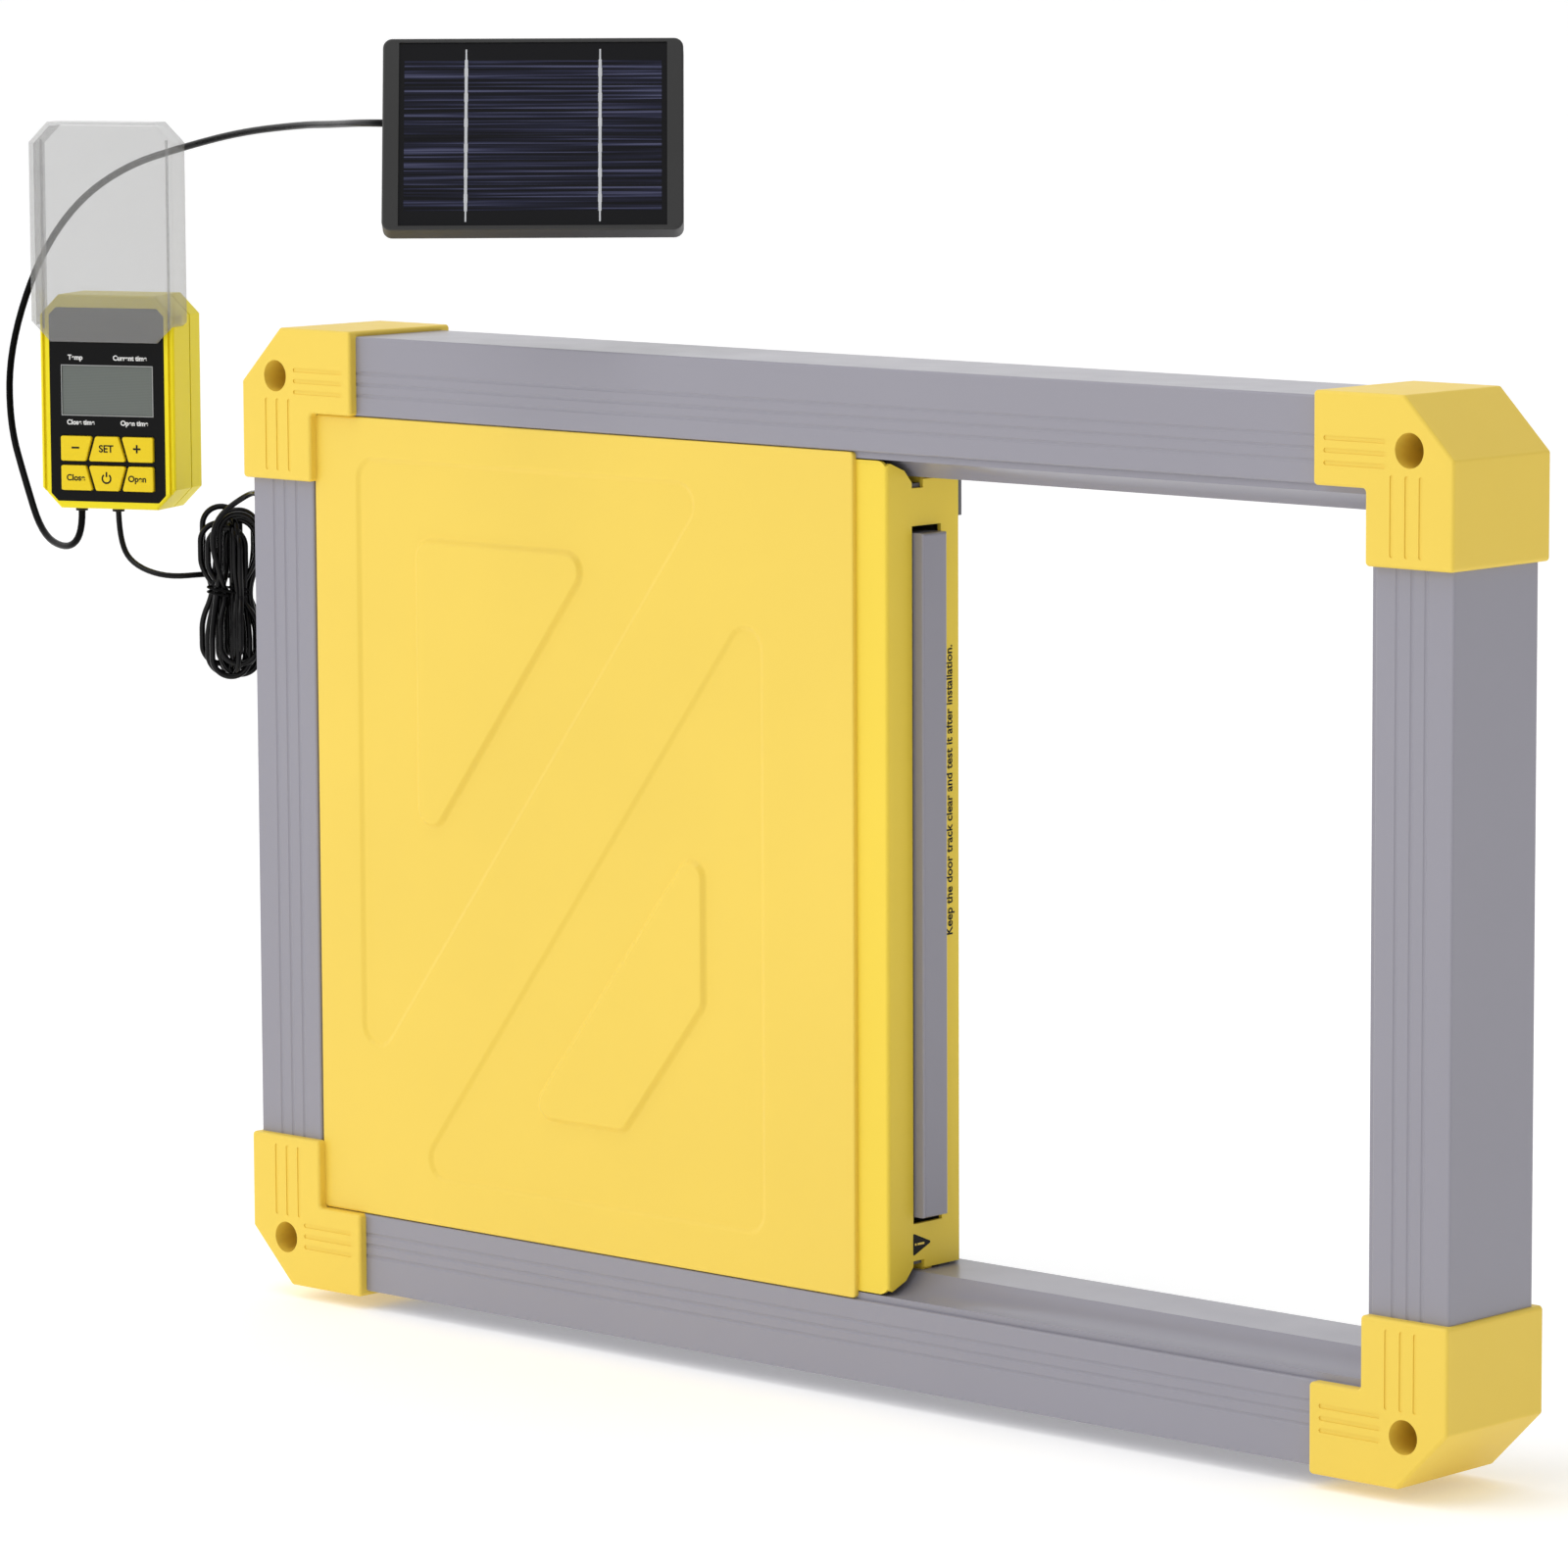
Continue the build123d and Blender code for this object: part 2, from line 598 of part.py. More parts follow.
with BuildPart() as controller_back_shell:
    with BuildSketch(CTRL):
        add(octagon(CTRL_W, CTRL_H, CHAMFER))
    extrude(amount=SPLIT_D)
    with BuildSketch(CTRL.offset(SHELL_WALL)):
        add(octagon(CTRL_W - 2 * SHELL_WALL, CTRL_H - 2 * SHELL_WALL, CHAMFER - 1))
        with Locations(*CTRL_SCREWS):
            Circle(4, mode=Mode.SUBTRACT)
    extrude(amount=SPLIT_D, mode=Mode.SUBTRACT)
    with BuildSketch(CTRL):
        with Locations(*CTRL_SCREWS):
            Circle(2.8)
    extrude(amount=1.8, mode=Mode.SUBTRACT)
    with BuildSketch(CTRL):
        with Locations(*CTRL_SCREWS, *BRACKET_SCREWS):
            Circle(1.5)
    extrude(amount=SPLIT_D, mode=Mode.SUBTRACT)

with BuildPart() as shell_gasket:
    with BuildSketch(CTRL.offset(SPLIT_D)):
        add(octagon(CTRL_W - 0.8, CTRL_H - 0.8, CHAMFER))
        add(octagon(CTRL_W - 2 * SHELL_WALL, CTRL_H - 2 * SHELL_WALL, CHAMFER - 1), mode=Mode.SUBTRACT)
        with Locations(*CTRL_SCREWS):
            Circle(1.5, mode=Mode.SUBTRACT)
    extrude(amount=0.8)

FACE_W = 49.3
FACE_H = 76.2
FACE_Y = -1.1
LCD_W = 39.2
LCD_H = 19.7
LCD_Y = 4.5
KEY_HALF = 4.9
ROW_1 = -18.35
ROW_2 = -29.9


def side_key(side, row, wide_up):
    """Outline of a key at the edge of the keypad; its slanted side faces the middle key."""
    return [
        (side * 19.8, row + KEY_HALF),
        (side * 19.8, row - KEY_HALF),
        (side * (9.2 if wide_up else 6.35), row - KEY_HALF),
        (side * (6.35 if wide_up else 9.2), row + KEY_HALF),
    ]


def middle_key(row, wide_up):
    """Outline of a key in the middle of the keypad."""
    top = 7.95 if wide_up else 4.9
    bottom = 4.9 if wide_up else 7.95
    return [(-top, row + KEY_HALF), (top, row + KEY_HALF), (bottom, row - KEY_HALF), (-bottom, row - KEY_HALF)]


KEYS = {
    "key_minus": side_key(-1, ROW_1, True),
    "key_set": middle_key(ROW_1, False),
    "key_plus": side_key(1, ROW_1, True),
    "key_close": side_key(-1, ROW_2, False),
    "key_power": middle_key(ROW_2, True),
    "key_open": side_key(1, ROW_2, False),
}


def grown(points, amount):
    """A key outline with small rounded corners, enlarged all round by this amount."""
    outline = rounded_polygon(points, 0.8)
    return offset(outline, amount=amount, mode=Mode.PRIVATE) if amount else outline


with BuildPart() as controller_front_shell:
    with BuildSketch(CTRL.offset(SPLIT_D + 0.8)):
        add(octagon(CTRL_W, CTRL_H, CHAMFER))
    extrude(amount=CTRL_D - SPLIT_D - 0.8)
    fillet(faces().sort_by(Axis(CTRL.origin, CTRL.z_dir))[-1].edges(), radius=1.2)
    with BuildSketch(CTRL.offset(SPLIT_D + 0.8)):
        add(octagon(CTRL_W - 2 * SHELL_WALL, CTRL_H - 2 * SHELL_WALL, CHAMFER - 1))
        with Locations(*CTRL_SCREWS):
            Circle(4, mode=Mode.SUBTRACT)
    extrude(amount=CTRL_D - SPLIT_D - 0.8 - 2.5, mode=Mode.SUBTRACT)
    with BuildSketch(CTRL.offset(18.5)):
        add(octagon(CTRL_W - 2 * SHELL_WALL, CTRL_H - 2 * SHELL_WALL, CHAMFER - 1))
    extrude(amount=4, mode=Mode.SUBTRACT)
    with BuildSketch(CTRL.offset(CTRL_D - 0.8)):
        with Locations((0, FACE_Y)):
            add(octagon(FACE_W, FACE_H, 3))
    extrude(amount=1, mode=Mode.SUBTRACT)
    with BuildSketch(CTRL.offset(CTRL_D - 3)):
        with Locations((0, LCD_Y)):
            Rectangle(LCD_W, LCD_H)
        for points in KEYS.values():
            add(grown(points, 0.25))
    extrude(amount=3, mode=Mode.SUBTRACT)
    with BuildSketch(CTRL.offset(CTRL_D - 1.2)):
        with Locations((-26.9, 0), (26.9, 0)):
            Rectangle(1.2, CTRL_H)
    extrude(amount=3, mode=Mode.SUBTRACT)
    with BuildSketch(CTRL.offset(SPLIT_D)):
        with Locations(*CTRL_SCREWS):
            Circle(1.5)
    extrude(amount=9, mode=Mode.SUBTRACT)
    with BuildSketch(plane_below(CTRL, 0, -CTRL_H / 2 + SHELL_WALL + 1, GLAND_D)):
        with Locations(*[(across, 0) for across in GLAND_X]):
            Circle(2.2)
    extrude(amount=4, mode=Mode.SUBTRACT)

with BuildPart() as face_panel:
    with BuildSketch(CTRL.offset(CTRL_D - 0.8)):
        with Locations((0, FACE_Y)):
            add(octagon(FACE_W, FACE_H, 3))
        with Locations((0, LCD_Y)):
            Rectangle(LCD_W, LCD_H, mode=Mode.SUBTRACT)
        for points in KEYS.values():
            add(grown(points, 0.25), mode=Mode.SUBTRACT)
    extrude(amount=0.7)

BOARD_D = 12.0
BOARD_T = 1.6
BOARD_TOP = BOARD_D + BOARD_T
KEY_BACK = 20.6
KEY_FLANGE = 1.8
KEY_FRONT = 26.2
SWITCH_TOP = KEY_BACK - KEY_TRAVEL - 0.1
SWITCH_BODY = 3.8

with BuildPart() as circuit_board:
    with BuildSketch(CTRL.offset(BOARD_D)):
        add(octagon(CTRL_W - 2 * SHELL_WALL - 0.1, CTRL_H - 2 * SHELL_WALL - 0.1, 17))
    extrude(amount=BOARD_T)
    switch_spots = [(sum(x for x, _ in points) / 4, points[0][1] - KEY_HALF) for points in KEYS.values()]
    with BuildSketch(CTRL.offset(BOARD_TOP)):
        with Locations(*switch_spots):
            Rectangle(6, 6)
    extrude(amount=SWITCH_BODY)
    with BuildSketch(CTRL.offset(BOARD_TOP + SWITCH_BODY)):
        with Locations(*switch_spots):
            Circle(1.75)
    extrude(amount=SWITCH_TOP - BOARD_TOP - SWITCH_BODY)

with BuildPart() as lcd_display:
    with BuildSketch(CTRL.offset(BOARD_TOP)):
        with Locations((0, LCD_Y)):
            Rectangle(42, 23)
    extrude(amount=CTRL_D - 2.8 - BOARD_TOP)
    with BuildSketch(CTRL.offset(CTRL_D - 2.8)):
        with Locations((0, LCD_Y)):
            Rectangle(LCD_W - 0.4, LCD_H - 0.4)
    extrude(amount=2.4)

with BuildPart() as battery:
    with BuildSketch(CTRL.offset(SHELL_WALL)):
        RectangleRounded(34, 50, 2)
    extrude(amount=BOARD_D - SHELL_WALL)

key_parts = {}
for key_name, points in KEYS.items():
    with BuildPart() as key:
        with BuildSketch(CTRL.offset(KEY_BACK)):
            add(grown(points, 0))
        extrude(amount=KEY_FRONT - KEY_BACK)
        fillet(faces().sort_by(Axis(CTRL.origin, CTRL.z_dir))[-1].edges(), radius=0.4)
        with BuildSketch(CTRL.offset(KEY_BACK)):
            add(grown(points, 0.55))
        extrude(amount=KEY_FLANGE)
    key_parts[key_name] = key

with BuildPart() as controller_screws:
    for spots, head_back, length in ((CTRL_SCREWS, 0, 15), (BRACKET_SCREWS, -3.8, 3.6)):
        with BuildSketch(CTRL.offset(head_back)):
            with Locations(*spots):
                Circle(2.7)
                RegularPolygon(radius=1.2, side_count=6, mode=Mode.SUBTRACT)
        extrude(amount=1)
        with BuildSketch(CTRL.offset(head_back + 1)):
            with Locations(*spots):
                Circle(2.7)
        extrude(amount=0.8)
        with BuildSketch(CTRL.offset(head_back + 1.8)):
            with Locations(*spots):
                Circle(1.5)
        extrude(amount=length)

GLAND_L = 1.5

with BuildPart() as controller_glands:
    with BuildSketch(plane_below(CTRL, 0, -CTRL_H / 2 + SHELL_WALL, GLAND_D)):
        with Locations(*[(across, 0) for across in GLAND_X]):
            Circle(2.2)
    extrude(amount=SHELL_WALL)
    with BuildSketch(plane_below(CTRL, 0, -CTRL_H / 2, GLAND_D)):
        with Locations(*[(across, 0) for across in GLAND_X]):
            Circle(2.4)
    extrude(amount=GLAND_L)

# ---- rain cover ----

RAIN_W = 61.6
RAIN_H = 86.0
RAIN_WALL = 1.6
RAIN_RAISED = 66.6
RAIN_BACK = 16.3
RAIN_INSIDE = 26.7

with BuildPart() as rain_cover:
    with BuildSketch(CTRL.offset(RAIN_BACK)):
        with Locations((0, RAIN_RAISED)):
            add(octagon(RAIN_W, RAIN_H, CHAMFER))
    extrude(amount=RAIN_INSIDE + RAIN_WALL - RAIN_BACK)
    fillet(faces().sort_by(Axis(CTRL.origin, CTRL.z_dir))[-1].edges(), radius=1.0)
    with BuildSketch(CTRL.offset(RAIN_BACK)):
        with BuildLine():
            half = RAIN_W / 2 - RAIN_WALL
            top = RAIN_RAISED + RAIN_H / 2 - RAIN_WALL
            bottom = RAIN_RAISED - RAIN_H / 2 - 1
            cut = CHAMFER - RAIN_WALL * (2 - 2 ** 0.5)
            Polyline((-half, bottom), (half, bottom), (half, top - cut), (half - cut, top),
                     (cut - half, top), (-half, top - cut), close=True)
        make_face()
    extrude(amount=RAIN_INSIDE - RAIN_BACK, mode=Mode.SUBTRACT)
    with BuildSketch(CTRL.offset(CTRL_D - 0.9)):
        with Locations((-26.9, RAIN_RAISED - 1), (26.9, RAIN_RAISED - 1)):
            Rectangle(0.8, 74)
    extrude(amount=RAIN_INSIDE - CTRL_D + 0.9)

# ---- controller bracket ----

with BuildPart() as controller_bracket:
    with BuildSketch(Plane.XY.offset(128.5)):
        with BuildLine():
            FilletPolyline((-442, -1), (-398, -1), (-377.7, -12.04), (-405.4, -23.68), radius=2.2)
        trace(line_width=2)
    extrude(amount=44)
    with BuildSketch(wall_plane(-1)):
        with Locations((-428, 136.5), (-428, 164.5)):
            Circle(2.1)
    extrude(amount=4, mode=Mode.SUBTRACT)
    with BuildSketch(CTRL.offset(-2.5)):
        with Locations(*BRACKET_SCREWS):
            Circle(1.5)
    extrude(amount=3, mode=Mode.SUBTRACT)

# ---- solar panel ----

FACE_OUT = Axis(PANEL.origin, PANEL.z_dir)

with BuildPart() as panel_frame:
    with BuildSketch(PANEL):
        RectangleRounded(PANEL_W, PANEL_H, 3.5)
    extrude(amount=PANEL_D)
    fillet(faces().sort_by(FACE_OUT)[-1].edges(), radius=0.8)
    with BuildSketch(PANEL):
        Rectangle(LAMINATE_W - 2 * PANEL_LEDGE, LAMINATE_H - 2 * PANEL_LEDGE)
    extrude(amount=PANEL_D, mode=Mode.SUBTRACT)
    with BuildSketch(PANEL.offset(7.5)):
        Rectangle(LAMINATE_W, LAMINATE_H)
    extrude(amount=PANEL_D, mode=Mode.SUBTRACT)

with BuildPart() as solar_laminate:
    with BuildSketch(PANEL.offset(7.5)):
        Rectangle(LAMINATE_W, LAMINATE_H)
    extrude(amount=1.8)

with BuildPart() as panel_back:
    with BuildSketch(PANEL):
        Rectangle(LAMINATE_W - 2 * PANEL_LEDGE, LAMINATE_H - 2 * PANEL_LEDGE)
    extrude(amount=2)
    for left in (11.0, 20.0):
        with BuildSketch(plane_across(PANEL, left, TILT_Y, -TILT_D)):
            Circle(5)
            with Locations((0, TILT_D / 2)):
                Rectangle(10, TILT_D)
            Circle(2, mode=Mode.SUBTRACT)
        extrude(amount=3)

with BuildPart() as junction_box:
    with BuildSketch(PANEL.offset(-9.5)):
        with Locations((-3.5, TILT_Y)):
            RectangleRounded(23, 22, 2)
    extrude(amount=9.5)
    with BuildSketch(plane_across(PANEL, -20, TILT_Y, -TILT_D)):
        Circle(3)
    extrude(amount=6)

with BuildPart() as tilt_bolt:
    with BuildSketch(plane_across(PANEL, 8.6, TILT_Y, -TILT_D)):
        Circle(3.5)
    extrude(amount=2.4)
    with BuildSketch(plane_across(PANEL, 11, TILT_Y, -TILT_D)):
        Circle(2)
    extrude(amount=17)

with BuildPart() as wing_nut:
    with BuildSketch(plane_across(PANEL, 23, TILT_Y, -TILT_D)):
        Circle(3.6)
    extrude(amount=4)
    with BuildSketch(plane_across(PANEL, 25, TILT_Y, -TILT_D)):
        SlotOverall(18, 3.2)
    extrude(amount=2)
    with BuildSketch(plane_across(PANEL, 22, TILT_Y, -TILT_D)):
        Circle(2)
    extrude(amount=6, mode=Mode.SUBTRACT)

toward_wall = Vector(-sin(radians(PANEL_TURN)), cos(radians(PANEL_TURN)), 0)
TONGUE = Plane(origin=point_on(PANEL, 14.3, TILT_Y, -TILT_D), x_dir=toward_wall, z_dir=panel_right)

with BuildPart() as panel_bracket:
    with BuildSketch(TONGUE):
        Circle(4.8)
        with Locations((35, 0)):
            Rectangle(70, 9.6)
        Circle(2 + FIT, mode=Mode.SUBTRACT)
    extrude(amount=5.4)
    with Locations((-160, 50, 265)):
        Box(200, 100, 100, mode=Mode.SUBTRACT)
    block(-184, -134, 0, 3, 241, 289)
    fillet(edges().filter_by(Axis.Y).group_by(Axis.Z)[-1], radius=4)
    with BuildSketch(wall_plane(-1)):
        with Locations((-178, 248), (-178, 282), (-140, 248), (-140, 282)):
            Circle(2.1)
    extrude(amount=5, mode=Mode.SUBTRACT)

# ---- cords ----


def bend_radii(points):
    """Bend radius at each inner point: 0.45 of the shorter run beside it, over tan of half the turn."""
    spots = [Vector(*point) for point in points]
    radii = []
    for before, here, after in zip(spots, spots[1:], spots[2:]):
        into = here - before
        out = after - here
        half_turn = radians(into.get_angle(out)) / 2
        radii.append(0.45 * min(into.length, out.length) / tan(half_turn))
    return radii


def cord_tube(points, diameter):
    """A round cord along straight runs joined by tangent arcs."""
    radii = bend_radii(points)
    with BuildPart() as tube:
        with BuildLine() as route:
            FilletPolyline(*points, radius=radii)
        with BuildSketch(Plane(origin=route.line @ 0, z_dir=route.line % 0)):
            Circle(diameter / 2)
        sweep()
    length = route.wire().length
    share = tube.part.volume / (pi * diameter ** 2 / 4 * length)
    tightest = min(radii) / diameter
    print(f"cord {length:.1f} mm, tightest bend {tightest:.2f} diameters, fill {share:.3f}")
    return tube


solar_start = point_on(PANEL, -20, TILT_Y, -TILT_D)
solar_clear = point_on(PANEL, -66, TILT_Y, -TILT_D)
solar_end = point_on(CTRL, GLAND_X[0], -CTRL_H / 2 - GLAND_L, GLAND_D)

solar_cord = cord_tube(
    [
        tuple(solar_start),
        tuple(solar_clear),
        (-210, -66, 265.5),
        (-262, -46, 262.3),
        (-315, -28, 258),
        (-362, -15, 249.8),
        (-400, -10.5, 241.5),
        (-433, -8.5, 225.5),
        (-457, -8.5, 200),
        (-470, -11.5, 165),
        (-466, -15.5, 136),
        (-451, -21, 114.5),
        (-433, -28.5, 94),
        (-408, -37.5, 90.5),
        (solar_end.X, solar_end.Y, 97.5),
        tuple(solar_end),
    ],
    SOLAR_CORD_D,
)

HANK = Plane(origin=(-340, -14, 76.5), x_dir=(cos(radians(42.5)), sin(radians(42.5)), 0),
             z_dir=(sin(radians(42.5)), -cos(radians(42.5)), 0))
HANK_T = 12.0

with BuildPart() as cord_hank:
    with BuildSketch(HANK.offset(-HANK_T / 2)):
        upper = [(-6.5, -3.5), (-6.5, 4), (-11, 16), (-11, 28), (-6, 33.5)]
        lower = [(-6, -33.5), (-11, -28), (-11, -16)]
        left = upper[::-1] + lower[::-1]
        with BuildLine():
            Polyline(*left, *[(-x, y) for x, y in left[::-1]], close=True)
        make_face()
        fillet(vertices(), radius=2)
    extrude(amount=HANK_T)

with BuildPart() as hank_tie:
    with BuildSketch(HANK.offset(-HANK_T / 2 - 1.2)):
        Rectangle(15.4, 5)
    extrude(amount=HANK_T + 2.4)
    add(cord_hank.part, mode=Mode.SUBTRACT)

door_start = point_on(CTRL, GLAND_X[1], -CTRL_H / 2 - GLAND_L, GLAND_D)
hank_in = point_on(HANK, -7.5, 6.5, 0)
hank_near = point_on(HANK, -25, 5.6, 0)

door_cord_controller_side = cord_tube(
    [tuple(door_start), (-382, -33.4, 96), (-376, -32.8, 86.5), tuple(hank_near), tuple(hank_in)],
    DOOR_CORD_D,
)

hank_out = point_on(HANK, 7, 29.5, 0)
GLAND_OUT = 6.0

door_cord_frame_side = cord_tube(
    [
        tuple(hank_out),
        (-328, -14, 116),
        (-311, -25, 117.5),
        (GLAND_SPOT[0] - GLAND_OUT, GLAND_SPOT[1], GLAND_SPOT[2]),
    ],
    DOOR_CORD_D,
)

with BuildPart() as frame_gland:
    along_x(GLAND_SPOT[0], -GLAND_SPOT[1], GLAND_SPOT[2], 3, 2)
    along_x(GLAND_SPOT[0] - 1.8, -GLAND_SPOT[1], GLAND_SPOT[2], 5, 1.8)
    along_x(GLAND_SPOT[0] - GLAND_OUT, -GLAND_SPOT[1], GLAND_SPOT[2], 3.6, GLAND_OUT - 1.8)

# ---- write every part ----

PARTS = {
    "top_rail": top_rail,
    "bottom_rail": bottom_rail,
    "left_post": left_post,
    "right_post": right_post,
    "corner_cap_top_left": corner_cap_top_left,
    "corner_cap_top_right": corner_cap_top_right,
    "corner_cap_bottom_left": corner_cap_bottom_left,
    "corner_cap_bottom_right": corner_cap_bottom_right,
    "frame_screws": frame_screws,
    "front_cover": front_cover,
    "side_plate": side_plate,
    "rear_cover": rear_cover,
    "guide_rods": guide_rods,
    "rod_supports": rod_supports,
    "door_panel": door_panel,
    "door_end_caps": door_end_caps,
    "door_edge_strip": door_edge_strip,
    "carriage_top": carriage_top,
    "carriage_bottom": carriage_bottom,
    "guide_bushings": guide_bushings,
    "drive_nut": drive_nut,
    "lead_screw": lead_screw,
    "bearing_blocks": bearing_blocks,
    "gearmotor": gearmotor,
    "motor_shaft": motor_shaft,
    "shaft_coupling": shaft_coupling,
    "motor_bracket": motor_bracket,
    "limit_switches": limit_switches,
    "post_buffer": post_buffer,
    "controller_front_shell": controller_front_shell,
    "controller_back_shell": controller_back_shell,
    "shell_gasket": shell_gasket,
    "face_panel": face_panel,
    "lcd_display": lcd_display,
    "circuit_board": circuit_board,
    "battery": battery,
    "controller_screws": controller_screws,
    "controller_glands": controller_glands,
    "rain_cover": rain_cover,
    "controller_bracket": controller_bracket,
    "panel_frame": panel_frame,
    "solar_laminate": solar_laminate,
    "panel_back": panel_back,
    "junction_box": junction_box,
    "tilt_bolt": tilt_bolt,
    "wing_nut": wing_nut,
    "panel_bracket": panel_bracket,
    "solar_cord": solar_cord,
    "door_cord_controller_side": door_cord_controller_side,
    "door_cord_frame_side": door_cord_frame_side,
    "cord_hank": cord_hank,
    "hank_tie": hank_tie,
    "frame_gland": frame_gland,
    **key_parts,
}

for part_name, builder in PARTS.items():
    builder.part.label = part_name
    export_step(builder.part, f"parts/{part_name}.step")
print(len(PARTS), "parts")
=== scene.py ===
"""Automatic coop door: finishes, cords, detail pieces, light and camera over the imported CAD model.

Lengths are millimetres until MM turns them into metres.
X runs along the frame, the front faces -Y and +Z is up.
"""
import json
from math import acos, cos, pi, radians, sin, tan

import bmesh
import bpy
from mathutils import Matrix, Vector


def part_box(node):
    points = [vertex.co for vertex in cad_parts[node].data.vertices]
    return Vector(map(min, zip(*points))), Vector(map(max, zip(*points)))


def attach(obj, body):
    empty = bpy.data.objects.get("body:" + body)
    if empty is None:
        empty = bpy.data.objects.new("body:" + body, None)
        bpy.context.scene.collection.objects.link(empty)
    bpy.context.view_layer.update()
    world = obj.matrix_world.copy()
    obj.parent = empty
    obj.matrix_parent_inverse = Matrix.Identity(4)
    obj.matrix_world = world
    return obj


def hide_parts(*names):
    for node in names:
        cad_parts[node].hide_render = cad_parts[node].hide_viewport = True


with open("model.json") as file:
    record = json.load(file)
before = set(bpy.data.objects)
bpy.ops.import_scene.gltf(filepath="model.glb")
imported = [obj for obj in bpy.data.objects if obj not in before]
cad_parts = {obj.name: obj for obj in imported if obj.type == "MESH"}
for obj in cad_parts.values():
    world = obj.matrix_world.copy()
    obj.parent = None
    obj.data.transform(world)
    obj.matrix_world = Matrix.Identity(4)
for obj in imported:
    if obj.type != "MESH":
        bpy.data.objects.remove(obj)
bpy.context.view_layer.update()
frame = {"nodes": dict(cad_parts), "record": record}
MM = 0.001

# ---- local planes, as in the part's source ----


def local_plane(origin, turn, rise=0.0):
    """A plane turned about Z and tipped back, as a matrix; its origin is given in millimetres."""
    right = Vector((cos(turn), sin(turn), 0))
    front = Vector((sin(turn) * cos(rise), -cos(turn) * cos(rise), sin(rise)))
    up = front.cross(right)
    axes = Matrix((right, up, front)).transposed().to_4x4()
    return Matrix.Translation(Vector(origin) * MM) @ axes


CTRL_H = 84.0
CTRL = local_plane((-389.3, -18, 150.5), radians(22.8))
PANEL = local_plane((-122.5, -63.4, 259.2), radians(42.5), radians(21))
HANK = local_plane((-340, -14, 76.5), radians(42.5))


def point_on(plane, x, y, z):
    """A point given in a local plane, in millimetres, as metres of the whole object."""
    return plane @ (Vector((x, y, z)) * MM)


def metres(x, y, z):
    """A point of the whole object, from millimetres."""
    return Vector((x, y, z)) * MM


# ---- camera ----

CAMERA_SPOT = (1755.2, -1979.8, 368.7)
CAMERA_YAW = radians(-42.49)
CAMERA_PITCH = radians(-7.346)
CAMERA_ROLL = radians(-0.255)

camera_data = bpy.data.cameras.new("camera")
camera_data.lens = 168.46
camera_data.sensor_width = 36
camera_data.clip_end = 50
camera = bpy.data.objects.new("camera", camera_data)
bpy.context.scene.collection.objects.link(camera)
look = Vector((
    sin(CAMERA_YAW) * cos(CAMERA_PITCH),
    cos(CAMERA_YAW) * cos(CAMERA_PITCH),
    sin(CAMERA_PITCH),
))
level = Vector((cos(CAMERA_YAW), -sin(CAMERA_YAW), 0))
upright = level.cross(look)
across = cos(CAMERA_ROLL) * level + sin(CAMERA_ROLL) * upright
upward = -sin(CAMERA_ROLL) * level + cos(CAMERA_ROLL) * upright
turned = Matrix((across, upward, -look)).transposed().to_4x4()
camera.matrix_world = Matrix.Translation(metres(*CAMERA_SPOT)) @ turned
bpy.context.scene.camera = camera
bpy.context.scene.view_settings.view_transform = "Standard"

# ---- finishes ----


def linear(red, green, blue):
    """A display colour, 0 to 255, as the linear colour that a shader takes."""
    parts = [part / 255 for part in (red, green, blue)]
    return [part / 12.92 if part < 0.04 else ((part + 0.055) / 1.055) ** 2.4 for part in parts] + [1.0]


def shaded(colour, factor):
    """The same colour, lighter or darker."""
    return [min(1.0, part * factor) for part in colour[:3]] + [1.0]


